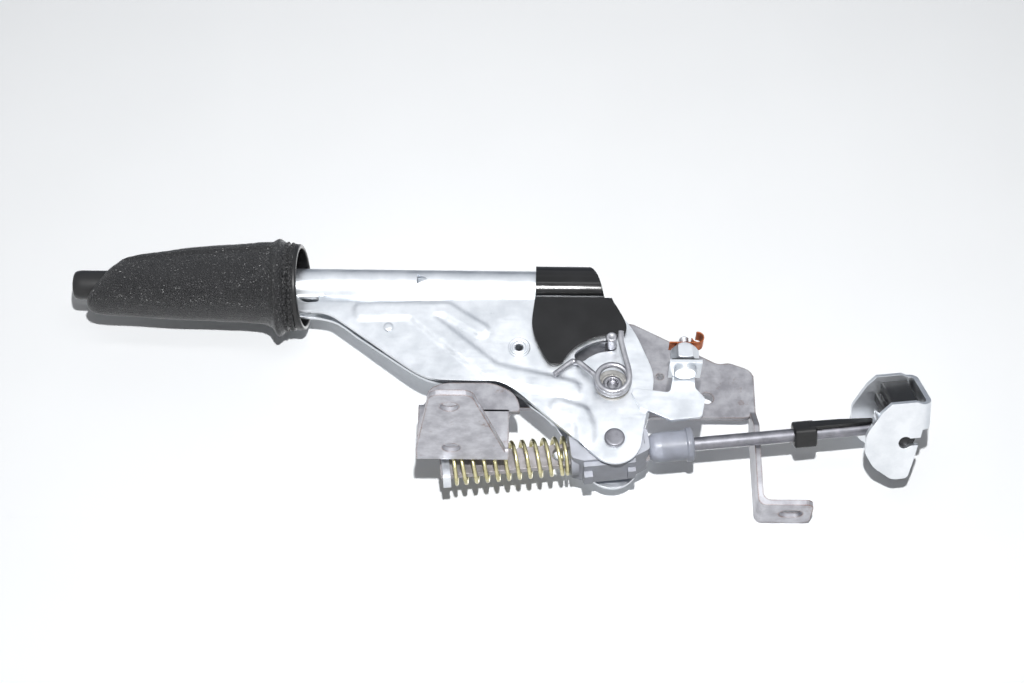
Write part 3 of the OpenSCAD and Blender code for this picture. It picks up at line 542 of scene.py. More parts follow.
def stitch_tree():
    """Row of short stitches along a path, each laid along it."""
    tree, given = new_tree(
        "stitches_along_path",
        {
            "Spacing": ("NodeSocketFloat", 3 * MM), "Thread": ("NodeSocketFloat", 0.8 * MM),
            "Material": ("NodeSocketMaterial", None),
        },
    )
    curve = add(tree, "GeometryNodeMeshToCurve", {"Mesh": given.outputs["Geometry"]})
    points = add(
        tree, "GeometryNodeCurveToPoints", {"Curve": curve, "Length": given.outputs["Spacing"]}, mode="LENGTH"
    )
    bead = add(tree, "GeometryNodeMeshUVSphere", {"Segments": 10, "Rings": 8, "Radius": 0.5})
    long_side = add(tree, "ShaderNodeMath", {0: given.outputs["Spacing"], 1: 0.8}, operation="MULTIPLY")
    shape = add(
        tree, "ShaderNodeCombineXYZ",
        {"X": given.outputs["Thread"], "Y": given.outputs["Thread"], "Z": long_side},
    )
    turn = add(tree, "FunctionNodeAlignRotationToVector", {"Vector": points.outputs["Tangent"]}, axis="Z")
    rows = add(
        tree, "GeometryNodeInstanceOnPoints",
        {"Points": points, "Instance": bead.outputs["Mesh"], "Rotation": turn, "Scale": shape},
    )
    real = add(tree, "GeometryNodeRealizeInstances", {"Geometry": rows})
    shade = add(tree, "GeometryNodeSetShadeSmooth", {"Geometry": real, "Shade Smooth": True})
    paint = add(tree, "GeometryNodeSetMaterial", {"Geometry": shade, "Material": given.outputs["Material"]})
    add(tree, "NodeGroupOutput", {"Geometry": paint})
    return tree


def at_pivot(x, y, z):
    """Point given in millimetres from the main pivot."""
    return PIVOT + Vector((x, y, z)) * MM


def loft(rings, closed=False):
    """Mesh through equal rings of points; a closed one joins its last ring to its first."""
    count, total = len(rings[0]), len(rings)
    points = [tuple(p) for ring in rings for p in ring]
    faces = []
    for i in range(total if closed else total - 1):
        for j in range(count):
            a, b = i * count, ((i + 1) % total) * count
            k = (j + 1) % count
            faces.append((a + j, a + k, b + k, b + j))
    mesh = bpy.data.meshes.new("loft")
    mesh.from_pydata(points, [], faces)
    mesh.update()
    return mesh


def outward(mesh):
    """Merges doubles, drops faces without area and turns every face outwards."""
    work = bmesh.new()
    work.from_mesh(mesh)
    bmesh.ops.remove_doubles(work, verts=work.verts, dist=1e-7)
    bmesh.ops.dissolve_degenerate(work, dist=1e-8, edges=work.edges)
    bmesh.ops.recalc_face_normals(work, faces=work.faces)
    work.to_mesh(mesh)
    work.free()
    return mesh


def eased(points, radius, steps=4):
    """Run of (radius, distance) points with its inner corners rounded."""
    out = [points[0]]
    for before, corner, after in zip(points, points[1:], points[2:]):
        a, b, c = Vector(before), Vector(corner), Vector(after)
        u, v = a - b, c - b
        start = b + u * min(radius / u.length, 0.45)
        stop = b + v * min(radius / v.length, 0.45)
        for i in range(steps + 1):
            t = i / steps
            out.append(tuple(start * (1 - t) ** 2 + b * (2 * t * (1 - t)) + stop * t**2))
    out.append(points[-1])
    return out


def turned(profile, centre, axis=(0, 1, 0), sides=64):
    """Mesh turned about an axis from (radius, distance along it) points in millimetres."""
    along = Vector(axis).normalized()
    side = along.orthogonal().normalized()
    other = along.cross(side)
    rings = []
    for radius, place in profile:
        middle = centre + along * (place * MM)
        out = [side * math.cos(a) + other * math.sin(a) for a in circle(sides)]
        rings.append([middle + way * (radius * MM) for way in out])
    return crisp(outward(loft(rings)))


def joined(meshes, finish):
    """One mesh of several, in one finish."""
    work = bmesh.new()
    for mesh in meshes:
        work.from_mesh(mesh)
    out = bpy.data.meshes.new("joined")
    work.to_mesh(out)
    work.free()
    out.materials.append(FINISH[finish])
    return out


def round_spot(centre, radius, z, a):
    """Point at an angle round an upright axis, in millimetres from centre."""
    return centre + Vector((radius * math.cos(a), radius * math.sin(a), z)) * MM


def span(node, axis, origin):
    """Lowest and highest place of a node along an axis, in millimetres from origin."""
    low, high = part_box(node)
    return (low[axis] - origin[axis]) / MM, (high[axis] - origin[axis]) / MM


# Grip profile, in millimetres: distance behind the front end, height above and below the tube's axis, lean
GRIP_STATIONS = (
    (11.3, 11.5, 11.2, 0.80),
    (12.8, 14.0, 13.4, 0.80),
    (16.3, 16.0, 15.2, 0.74),
    (23.0, 17.3, 16.2, 0.60),
    (33.0, 18.4, 16.8, 0.40),
    (52.0, 20.7, 17.8, 0.18),
    (74.0, 22.9, 18.3, 0.06),
    (92.0, 24.5, 18.7, 0.0),
    (98.0, 24.9, 19.6, 0.0),
    (102.0, 25.0, 22.2, 0.0),
    (106.0, 25.2, 26.8, 0.0),
    (109.5, 24.5, 24.4, 0.0),
    (112.0, 23.9, 23.2, 0.0),
    (115.0, 24.1, 23.8, 0.0),
)
GRIP_START, GRIP_END = GRIP_STATIONS[0][0], GRIP_STATIONS[-1][0]
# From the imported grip's front to the front of its end ring
GRIP_LENGTH = 108.0
GRIP_SEAM, GRIP_FOLD = 111.8, 106.0
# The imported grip's front face leans too, so its box starts at its lower edge
FRONT_LEAN = (COLLAR_BOX[0][0] - GRIP_BOX[0][0]) / MM - GRIP_LENGTH
# Folds where the two halves of the leather meet, seen from the front end
UPPER_WELT, LOWER_WELT = math.radians(147), math.radians(322)


def grip_at(along):
    """Profile values at a distance behind the grip's front end, on smooth curves through the stations."""
    rows = GRIP_STATIONS
    k = max(i for i in range(len(rows) - 1) if rows[i][0] <= along + 1e-9)
    a, b = rows[k], rows[k + 1]
    t = (along - a[0]) / (b[0] - a[0])
    before, after = rows[max(k - 1, 0)], rows[min(k + 2, len(rows) - 1)]
    out = []
    for i in (1, 2, 3):
        run = b[0] - a[0]
        m0 = (b[i] - before[i]) / max(b[0] - before[0], 1e-9) * run
        m1 = (after[i] - a[i]) / max(after[0] - a[0], 1e-9) * run
        out.append(
            (2 * t**3 - 3 * t**2 + 1) * a[i]
            + (t**3 - 2 * t**2 + t) * m0
            + (3 * t**2 - 2 * t**3) * b[i]
            + (t**3 - t**2) * m1
        )
    return out


def circle(count):
    """Angles at even steps round a circle."""
    return [2 * math.pi * j / count for j in range(count)]


def hump(distance, width):
    return math.exp(-((distance / width) ** 2))


def ramp(value, start, run):
    """Nought up to start, one after a run, straight between."""
    return min(1.0, max(0.0, (value - start) / run))


def grip_point(along, angle, lift=0.0):
    """Point on the leather, in metres; lift is in millimetres outwards."""
    up, down, lean = grip_at(along)
    c, s = math.cos(angle), math.sin(angle)
    high = up if s > 0 else down
    # A squarish oval in the hand, round where it meets the end ring
    rounding = ramp(along, 94, 12)
    wide = (0.47 + 0.03 * rounding) * (up + down)
    square = 0.86 + 0.14 * rounding
    y = wide * math.copysign(abs(c) ** square, c)
    z = high * math.copysign(abs(s) ** square, s)
    reach = math.hypot(y, z)
    sleeve = ramp(along, GRIP_START, 6) * ramp(GRIP_SEAM - 4, along, 6)
    relief = 0.0
    for welt in (UPPER_WELT, LOWER_WELT):
        across = ((angle - welt + math.pi) % (2 * math.pi) - math.pi) * reach
        groove = hump(across - 2.4, 0.9) + hump(across + 2.4, 0.9)
        relief += sleeve * (0.75 * hump(across, 1.1) - 0.35 * groove)
    # Soft unevenness of a hand-worn skin, and creases that gather towards the sewn end
    relief += noise.noise(Vector((along / 22, y / 16, z / 16))) * 0.45 * ramp(along, GRIP_START, 8)
    gather = ramp(along, 62, 30) * ramp(GRIP_SEAM, along, 4)
    relief += noise.noise(Vector((along / 3.2 + 9, y / 20, z / 20 + along / 30))) * 0.32 * gather
    relief += 0.7 * hump(along - GRIP_FOLD, 2.0) - 0.35 * hump(along - GRIP_FOLD + 4, 1.2)
    relief -= 0.8 * hump(along - GRIP_SEAM, 0.8)
    # The free edge behind the seam is puckered by the thread
    pucker = max(0.0, (along - GRIP_SEAM) / (GRIP_END - GRIP_SEAM))
    relief += 0.4 * pucker * math.sin(11 * angle + 0.6) * min(1.0, (GRIP_END - along) / 2 + 0.4)
    k = 1 + (relief + lift) / reach
    x = GRIP_BOX[0][0] / MM + FRONT_LEAN + along + lean * high * s
    return Vector((x * MM, PIVOT.y + y * k * MM, TUBE_Z + z * k * MM))


class BRAKELEVER_OT_finishes(bpy.types.Operator):
    """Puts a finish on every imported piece"""

    bl_idname = "brakelever.finishes"
    bl_label = "Finishes"

    def execute(self, context):
        make_finishes()
        for entry in frame["record"]["subparts"]:
            dress(entry["node"], entry["material_slot"])
        dress("pivot_cover", "cover")
        dress("adjuster_rack", "rack_steel")
        return {"FINISHED"}


class BRAKELEVER_OT_leather_grip(bpy.types.Operator):
    """Leather sleeve of the grip, turned in round the button"""

    bl_idname = "brakelever.leather_grip"
    bl_label = "Leather grip"

    sides: bpy.props.IntProperty(name="Sides", description="Points round the sleeve", default=144, min=24)
    mouth: length("Mouth", "Radius of the opening round the button", 8.6 * MM)

    def execute(self, context):
        angles = circle(self.sides)
        steps = [GRIP_START + d for d in (0.0, 0.35, 0.75, 1.2, 1.8, 2.5, 3.3, 4.2, 5.2)]
        run = GRIP_END - 0.1 - steps[-1]
        steps += [steps[-1] + run * (i + 1) / 118 for i in range(118)]
        rings = []
        for share in (0.0, 0.12, 0.35, 0.6, 0.85):
            rings.append([self.mouth_point(a).lerp(grip_point(GRIP_START, a), share) for a in angles])
        for along in steps:
            rings.append([grip_point(along, a) for a in angles])
        mesh = outward(loft(rings))
        mesh.materials.append(FINISH["leather"])
        skin = crisp(thickened(mesh, sizes().leather), 60)
        piece = new_piece("leather_sleeve", skin, "lever", "leather", "grip_leather", "grip_core")
        return {"FINISHED"}

    def mouth_point(self, angle):
        """Where the skin ends round the button, a little inside the slanted front face."""
        lean = GRIP_STATIONS[0][3]
        y, z = self.mouth * math.cos(angle), self.mouth * math.sin(angle)
        x = GRIP_BOX[0][0] + (FRONT_LEAN + GRIP_START + 1.2) * MM + lean * z
        return Vector((x, PIVOT.y + y, TUBE_Z + z))


class BRAKELEVER_OT_stitching(bpy.types.Operator):
    """Stitches on both sides of the seam round the sleeve's rear end"""

    bl_idname = "brakelever.stitching"
    bl_label = "Stitching"

    def execute(self, context):
        tree = stitch_tree()
        values = {"Spacing": sizes().stitch, "Thread": sizes().thread, "Material": FINISH["thread"]}
        rows = []
        for along, first in ((GRIP_SEAM - 1.3, 0.0), (GRIP_SEAM + 1.3, 0.04)):
            ring = [grip_point(along, first + a, 0.3) for a in circle(240)]
            rows.append(run_tree(path_object(ring, True), tree, values))
        solid_piece("grip_stitches", rows, "lever", "leather", finish="thread")
        return {"FINISHED"}


class BRAKELEVER_OT_grip_ends(bpy.types.Operator):
    """Moulded end ring behind the leather, and the release button"""

    bl_idname = "brakelever.grip_ends"
    bl_label = "Grip ends"

    def execute(self, context):
        on_axis = Vector((0, PIVOT.y, TUBE_Z))
        start, stop = COLLAR_BOX[0][0] / MM, COLLAR_BOX[1][0] / MM
        rim = (COLLAR_BOX[1][2] - COLLAR_BOX[0][2]) / 2 / MM
        bore, wall, under = 10.04, 2.4, 2.2
        ring = eased(
            [
                (bore, start + 1), (bore, start), (rim - under - 0.6, start), (rim - under, start + 0.8),
                (rim - under, stop - 3.9), (rim, stop - 3.5), (rim, stop - 0.9), (rim - 0.7, stop),
                (rim - wall + 0.4, stop), (rim - wall, stop - 0.5), (rim - wall, start + 2),
                (bore, start + 2), (bore, start + 1),
            ],
            0.5,
        )
        mesh = turned(ring, on_axis, (1, 0, 0), 96)
        # The open end is cut at a slight slant, longer on the far side
        for vertex in mesh.vertices:
            share = (vertex.co.x / MM - start) / (stop - start)
            vertex.co.x += share * 0.1 * (vertex.co.y - PIVOT.y)
        solid_piece("grip_end_ring", [mesh], "lever", "black_plastic", "grip_collar")
        low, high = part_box("release_button")
        front, back = low[0] / MM, high[0] / MM
        r = (high[2] - low[2]) / 2 / MM
        button = [(0, front), (r - 3.4, front), (r - 0.6, front + 0.9)]
        button += [(r, front + 4.2), (r, back), (0, back)]
        mesh = turned(eased(button, 1.6, 6), on_axis, (1, 0, 0), 72)
        solid_piece("rounded_button", [mesh], "button", "black_plastic", "release_button")
        return {"FINISHED"}


def evenly(points, step, closed=True):
    """Run of points with its long stretches divided."""
    out = []
    ends = list(points[1:]) + [points[0]] if closed else list(points[1:])
    for a, b in zip(points, ends):
        a, b = Vector(a), Vector(b)
        count = max(1, round((b - a).length / step))
        out += [tuple(a.lerp(b, i / count)) for i in range(count)]
    return out if closed else out + [tuple(points[-1])]


def within(u, v, loop):
    """Whether a point lies inside a closed run of points."""
    odd = False
    for (u0, v0), (u1, v1) in zip(loop, loop[1:] + loop[:1]):
        if (v0 > v) != (v1 > v) and u < u0 + (u1 - u0) * (v - v0) / (v1 - v0):
            odd = not odd
    return odd


def arc(centre, radius, start, stop, steps):
    """Points along an arc, in degrees."""
    angles = [math.radians(start + (stop - start) * i / steps) for i in range(steps + 1)]
    return [(centre[0] + radius * math.cos(a), centre[1] + radius * math.sin(a)) for a in angles]


def pressed_sheet(outline, holes, creases, step, thickness, place):
    """Sheet cut to a flat outline with holes, set in space by place(u, v) and given a thickness inwards."""
    outline = evenly(outline, step)
    holes = [evenly(hole, step) for hole in holes]
    points, edges = [], []
    for loop, closed in [(outline, True)] + [(h, True) for h in holes] + [(c, False) for c in creases]:
        first, count = len(points), len(loop)
        points += loop
        edges += [(first + i, first + (i + 1) % count) for i in range(count if closed else count - 1)]
    tree = kdtree.KDTree(len(points))
    for i, (u, v) in enumerate(points):
        tree.insert((u, v, 0), i)
    tree.balance()

    def solid(u, v):
        return within(u, v, outline) and not any(within(u, v, hole) for hole in holes)

    low_u, high_u = min(p[0] for p in outline), max(p[0] for p in outline)
    low_v, high_v = min(p[1] for p in outline), max(p[1] for p in outline)
    for row in range(int((high_v - low_v) / (0.87 * step)) + 1):
        v = low_v + 0.87 * step * row
        for column in range(int((high_u - low_u) / step) + 1):
            u = low_u + step * (column + 0.5 * (row % 2))
            if tree.find((u, v, 0))[2] > 0.6 * step and solid(u, v):
                points.append((u, v))
    flat, _, faces, *_ = delaunay_2d_cdt([Vector(p) for p in points], edges, [], 0, 1e-4)
    kept = []
    for face in faces:
        middle = sum((flat[i] for i in face), Vector((0, 0))) / len(face)
        if solid(*middle):
            kept.append(face)
    mesh = bpy.data.meshes.new("sheet")
    mesh.from_pydata([tuple(place(*p)) for p in flat], [], kept)
    return crisp(thickened(mesh, thickness * MM, even=True), 36)


def off_line(u, v, points):
    """Distance of a point from a run of points."""
    best = 1e9
    for a, b in zip(points, points[1:]):
        a, run = Vector(a), Vector(b) - Vector(a)
        here = Vector((u, v)) - a
        best = min(best, (here - run * ramp(here.dot(run), 0, run.length_squared)).length)
    return best


def fade(value, start, stop):
    """One before start, nought after stop, smooth between."""
    t = ramp(value, start, stop - start)
    return 1 - t * t * (3 - 2 * t)


# Section of the lever, in millimetres from the main pivot: walls up to a crease,
# a ledge inwards, then the tube
WALL_HALF, WALL_BEND, WALL_NOSE, WALL_TILT = 15.0, -60.0, -157.0, math.tan(math.radians(5.07))
CREASE, CREASE_RISE, LEDGE, TUBE_FROM = 52.0, 2.0, 0.3, math.radians(-58)
TOP_SPREAD, TUBE_R, TUBE_AXIS = 37.0, 10.0, (TUBE_Z - PIVOT.z) / MM
TOP = CREASE + TOP_SPREAD
# Pressed beads: middle lines
TRUNK = [(-133, 47.4), (-106, 47), (-63, 7.5), (-22, -2.5)]
BRANCH = [(-106, 47), (-88, 46.6), (-69, 33)]
PANEL = [(-28, -13), (-17, -17), (-14.5, -24), (-14.5, -31)]


def beads(u, v):
    """How far a place on the wall is pressed out, from nought to one."""
    return max(
        fade(off_line(u, v, TRUNK), 3.9, 6.1), fade(off_line(u, v, BRANCH), 2.8, 4.8),
        fade(off_line(u, v, PANEL), 3.6, 5.8),
    )


def on_lever(u, v, side, bead=0.0, proud=0.0, sink=0.0):
    """Point of the lever's sheet: on the wall below the crease, on the rounded top above it."""
    inward = max(0.0, WALL_BEND - u) * WALL_TILT
    lift = CREASE_RISE * ramp(WALL_BEND, u, WALL_BEND - WALL_NOSE)
    wall = WALL_HALF - inward
    if v <= CREASE:
        out = bead * beads(u, v) * fade(v, CREASE - 2, CREASE) if bead else 0.0
        return at_pivot(u, side * (wall + proud + out), v + lift * fade(CREASE - v, 0, 12))
    share = (v - CREASE) / TOP_SPREAD
    a = TUBE_FROM + (math.pi / 2 - TUBE_FROM) * max(0.0, share - LEDGE) / (1 - LEDGE)
    reach = TUBE_R + proud - sink
    y, z = reach * math.cos(a), TUBE_AXIS + reach * math.sin(a)
    if share < LEDGE:
        y, z = Vector((wall + proud, CREASE + lift)).lerp(Vector((y, z)), share / LEDGE)
    return at_pivot(u, side * y, z)


class BRAKELEVER_OT_pressed_halves(bpy.types.Operator):
    """The lever's two halves, pressed from sheet: wall with soft beads, crease and half tube"""

    bl_idname = "brakelever.pressed_halves"
    bl_label = "Pressed halves"

    sheet: length("Sheet", "Thickness of the sheet", 2.0 * MM)
    bead: length("Bead", "Height of the beads", 1.1 * MM)
    step: length("Step", "Spacing of the mesh", 1.6 * MM)

    # In millimetres from the main pivot
    front, join = -243.0, -176.0
    lobe, lobe_r = (0.5, -31.0), 14.0
    pawl, rivet = (-49, 22), (-119, 37)
    bush_hole, clevis_hole, pawl_hole, rivet_hole = 6.55, 3.56, 3.06, 1.55
    lance_from, lance_to, lance_half = -104.7, -98.4, 3.1

    def execute(self, context):
        near_edge = [(self.join, 48), (-157, 47.5), (-148, 44.5), (-104, 9), (-94, 4), (-56, 1.6)]
        far_edge = [(self.join, 50), (-157, 50), (-147, 48), (-104, 19), (-93, 15), (-54, 13), (-30, -6)]
        for side, edge in ((-1, near_edge), (1, far_edge)):
            meshes = [self.wall(side, edge), self.front_tube(side), self.tongue(side)]
            if side > 0:
                # The far half is a mirror image, so its faces are turned round
                for mesh in meshes:
                    mesh.flip_normals()
            where = "near" if side < 0 else "far"
            solid_piece(f"pressed_half_{where}", meshes, "lever", "zinc", f"lever_shell_{where}")
        return {"FINISHED"}

    def wall(self, side, edge):
        lobe = arc(self.lobe, self.lobe_r, 227, 350, 16)
        rear = [lobe[-1], (17, -17), (23, 5), (12, 34), (2, 47), (0.5, CREASE)]
        outline = eased(edge + [lobe[0]], 9, 6)[:-1] + lobe[:-1] + eased(rear, 9, 6)
        outline += [(-16.5, TOP), (self.join, TOP)]
        slot_r, slot_half, slot_from, slot_to = 24, 3.4, 91, 133
        end_from, end_to = (arc((0, 0), slot_r, a, a, 1)[0] for a in (slot_from, slot_to))
        slot = arc((0, 0), slot_r + slot_half, slot_from, slot_to, 14)
        slot += arc(end_to, slot_half, slot_to, slot_to + 180, 10)[1:-1]
        slot += arc((0, 0), slot_r - slot_half, slot_to, slot_from, 14)
        slot += arc(end_from, slot_half, slot_from + 180, slot_from + 360, 10)[1:-1]
        holes = [arc((0, 0), self.bush_hole, 0, 352.5, 47), arc(self.lobe, self.clevis_hole, 0, 350, 35)]
        holes += [arc(self.pawl, self.pawl_hole, 0, 350, 35), arc(self.rivet, self.rivet_hole, 0, 345, 23)]
        holes += [slot, self.lance(0)]
        # Above the narrow nose the ledge is cut away; twice round, so that each corner is eased once
        nose = [(-165, CREASE + 0.8), (-158, CREASE + 1.5), (-158, CREASE + 9), (-170, CREASE + 9)]
        holes.append(eased(nose * 2, 2, 3)[4:20])
        step = self.step / MM
        folds = [(CREASE, self.join + 1, 0), (CREASE + LEDGE * TOP_SPREAD, -156, -5)]
        creases = [evenly([(a, v), (b, v)], step, closed=False) for v, a, b in folds]
        return pressed_sheet(
            outline, holes, creases, step, self.sheet / MM, lambda u, v: on_lever(u, v, side, self.bead / MM)
        )

    def lance(self, margin):
        """Triangle that is cut and bent inwards on the side of the tube."""
        middle = CREASE + TOP_SPREAD * (LEDGE + (1 - LEDGE) * 0.4)
        back, half = self.lance_from + margin, self.lance_half - margin
        return [(back, middle - half), (self.lance_to, middle), (back, middle + half)]

    def tongue(self, side):
        """The lanced triangle, bent inwards from its rear point."""

        def place(u, v):
            return on_lever(u, v, side, sink=0.4 * (self.lance_to - u))

        return pressed_sheet(self.lance(0.25), [], [], 1.0, 1.0, place)

    def front_tube(self, side):
        """Plain half tube inside the grip."""
        outline = [(self.front, 0), (self.join, 0), (self.join, 180), (self.front, 180)]

        def place(u, v):
            a = math.radians(v - 90)
            return at_pivot(u, side * TUBE_R * math.cos(a), TUBE_AXIS + TUBE_R * math.sin(a))

        return pressed_sheet(outline, [], [], 7.0, self.sheet / MM, place)


class BRAKELEVER_OT_cover(bpy.types.Operator):
    """Black saddle over the tube's rear end, with a flap down each wall"""

    bl_idname = "brakelever.cover"
    bl_label = "Cover"

    skin: length("Skin", "Wall of the moulding", 2.0 * MM)
    proud: length("Proud", "From the lever's wall to the outside", 2.9 * MM)

    def execute(self, context):
        # Lower edge runs clear of the stop stud's path round the pivot
        clear = 28.9
        run = [(-40, TOP), (-40.3, CREASE + 8), (-40.6, CREASE)]
        run += [(-42.6, 36), (-40.5, 26), (-35.2, 13.8), (-31.6, 10.4)]
        run += arc((0, 0), clear, 156, 84, 12)
        run += [(7.0, 29.2), (8.4, 34.5), (5.4, 42), (0.2, CREASE - 0.5)]
        run += [(-0.8, CREASE + 6), (-6, CREASE + 22), (-14.5, TOP)]
        near = eased(run, 4.5, 5)
        outline = near + [(u, 2 * TOP - v) for u, v in reversed(near[1:-1])]
        folds = (CREASE, CREASE + LEDGE * TOP_SPREAD)
        levels = [v for fold in folds for v in (fold, 2 * TOP - fold)]
        creases = [evenly([(-39, v), (-4, v)], 1.5, closed=False) for v in levels]
        mesh = pressed_sheet(outline, [], creases, 1.5, self.skin / MM, self.place)
        solid_piece("saddle_cover", [mesh], "lever", "black_plastic", "pivot_cover", finish="cover")
        return {"FINISHED"}

    def place(self, u, v):
        proud = self.proud / MM
        return on_lever(u, v, -1, proud=proud) if v <= TOP else on_lever(u, 2 * TOP - v, 1, proud=proud)


class BRAKELEVER_OT_bracket_flange(bpy.types.Operator):
    """Flange of the bracket that stands up from the pad's riser under the lever's edge"""

    bl_idname = "brakelever.bracket_flange"
    bl_label = "Bracket flange"

    def execute(self, context):
        edge = [(-97, -16), (-97, -4), (-89, 0.6), (-62, 0.8), (-52, -4.5), (-48.5, -11), (-48.5, -16)]
        mesh = pressed_sheet(eased(edge, 5, 6), [], [], 3.0, 3.0, lambda u, v: at_pivot(u, -WALL_HALF, v))
        solid_piece("bracket_flange", [mesh], "base", "bare_steel")
        return {"FINISHED"}


class BRAKELEVER_OT_rod_fittings(bpy.types.Operator):
    """Ball socket, rod clip with its tongue and the equaliser's packing block"""

    bl_idname = "brakelever.rod_fittings"
    bl_label = "Rod fittings"

    roll: angle("Roll", "Turn of the equaliser", 57)

    def execute(self, context):
        start, stop, ball, rim = 18.4, 42.0, 31.0, 9.0
        shape = [(0, start), (4.6, start), (6.2, start + 0.8), (7.5, start + 2.8)]
        shape += [(8, start + 6), (8, stop - 4.4)]
        shape += [(8.2, stop - 3.8), (rim, stop - 3.4), (rim, stop - 1), (rim - 0.8, stop)]
        shape += [(4.0, stop), (4.0, ball + 4.2)]
        shape += [(5.4, ball + 2.2), (5.8, ball), (5.4, ball - 2.2), (3.6, ball - 4.6), (0, ball - 5.8)]
        mesh = turned(eased(shape, 0.7), CLEVIS, ROD_DIR)
        solid_piece("ball_socket", [mesh], "rack", "pale_plastic", "rod_socket")
        block = [(95.2, 0, 0.1, 0.1), (95.2, 0, 5.2, 4.9), (95.9, 0, 6, 5.7)]
        block += [(106.3, 0, 6, 5.7), (107, 0, 5.2, 4.9), (107, 0, 0.1, 0.1)]
        tongue = [(104, 4.9, 0.1, 0.1), (104, 4.9, 3.4, 1.1), (120, 4.9, 3.1, 1.0)]
        tongue += [(137, 4.5, 2.2, 0.7), (138, 4.5, 1.6, 0.4), (138, 4.5, 0.05, 0.05)]
        bars = [self.bar(block), self.bar(tongue)]
        solid_piece("rod_clip_tongue", bars, "rod", "black_plastic", "rod_clip")
        self.strap()
        half = 13.8
        edge = [(145, 13), (145, 19), (159.4, 19), (159.4, 9), (158, 7.5), (142, 7.5), (142, 13), (145, 13)]
        outline = eased(edge, 1.2, 4)[:-1]
        mesh = pressed_sheet(outline, [], [], 3.0, 2 * half, lambda u, v: self.on_yoke(u, -half, v))
        solid_piece("packing_block", [mesh], "equaliser", "black_plastic")
        return {"FINISHED"}

    def strap(self):
        """Equaliser bent from one strap: near plate, web and far plate, with a hook slot in each plate."""
        half, thick, bend, fold = 16.5, 2.5, 5.0, 159.5
        quarter = math.pi / 2 * bend
        middle = fold + quarter + half - bend
        edge = [(138, 18), (130, 6), (130, -6), (134, -14), (144, -22.5), (152.5, -22.5)]
        edge += [(155.6, -11), (157.4, -3)]
        eye = arc((150.5, -0.8), 3.5, -39, -321, 16)
        near = eased(edge, 2.5, 5) + [(157.6, -3)] + eye + [(158.6, 1.4), (fold, 6), (middle, 6)]
        top = [(fold, 21), (156, 22.5), (143, 22.5)]
        outline = near + [(2 * middle - u, v) for u, v in reversed(near[:-1])]
        outline += [(2 * middle - u, v) for u, v in reversed(top)] + top

        def place(u, v):
            side = -1 if u <= middle else 1
            s = min(u, 2 * middle - u) - fold
            if s <= 0:
                return self.on_yoke(fold + s, side * half, v)
            if s < quarter:
                y = half - bend + bend * math.cos(s / bend)
                return self.on_yoke(fold + bend * math.sin(s / bend), side * y, v)
            return self.on_yoke(fold + bend, side * (half - bend - s + quarter), v)

        mesh = pressed_sheet(outline, [], [], 1.8, thick, place)
        solid_piece("equaliser_strap", [mesh], "equaliser", "zinc", "equaliser_yoke")

    def on_yoke(self, along, y, up):
        c, s = math.cos(self.roll), math.sin(self.roll)
        return on_rod(along, y * c - up * s, y * s + up * c)

    def bar(self, stations):
        """Square bar with rounded corners through (along, height of its middle, half width, half height)."""
        rings = []
        for along, middle, wide, high in stations:
            ring = []
            for a in circle(40):
                c, s = math.cos(a), math.sin(a)
                ring.append(
                    self.on_yoke(
                        along, wide * math.copysign(abs(c) ** 0.4, c),
                        middle + high * math.copysign(abs(s) ** 0.4, s),
                    )
                )
            rings.append(ring)
        return crisp(outward(loft(rings)), 40)


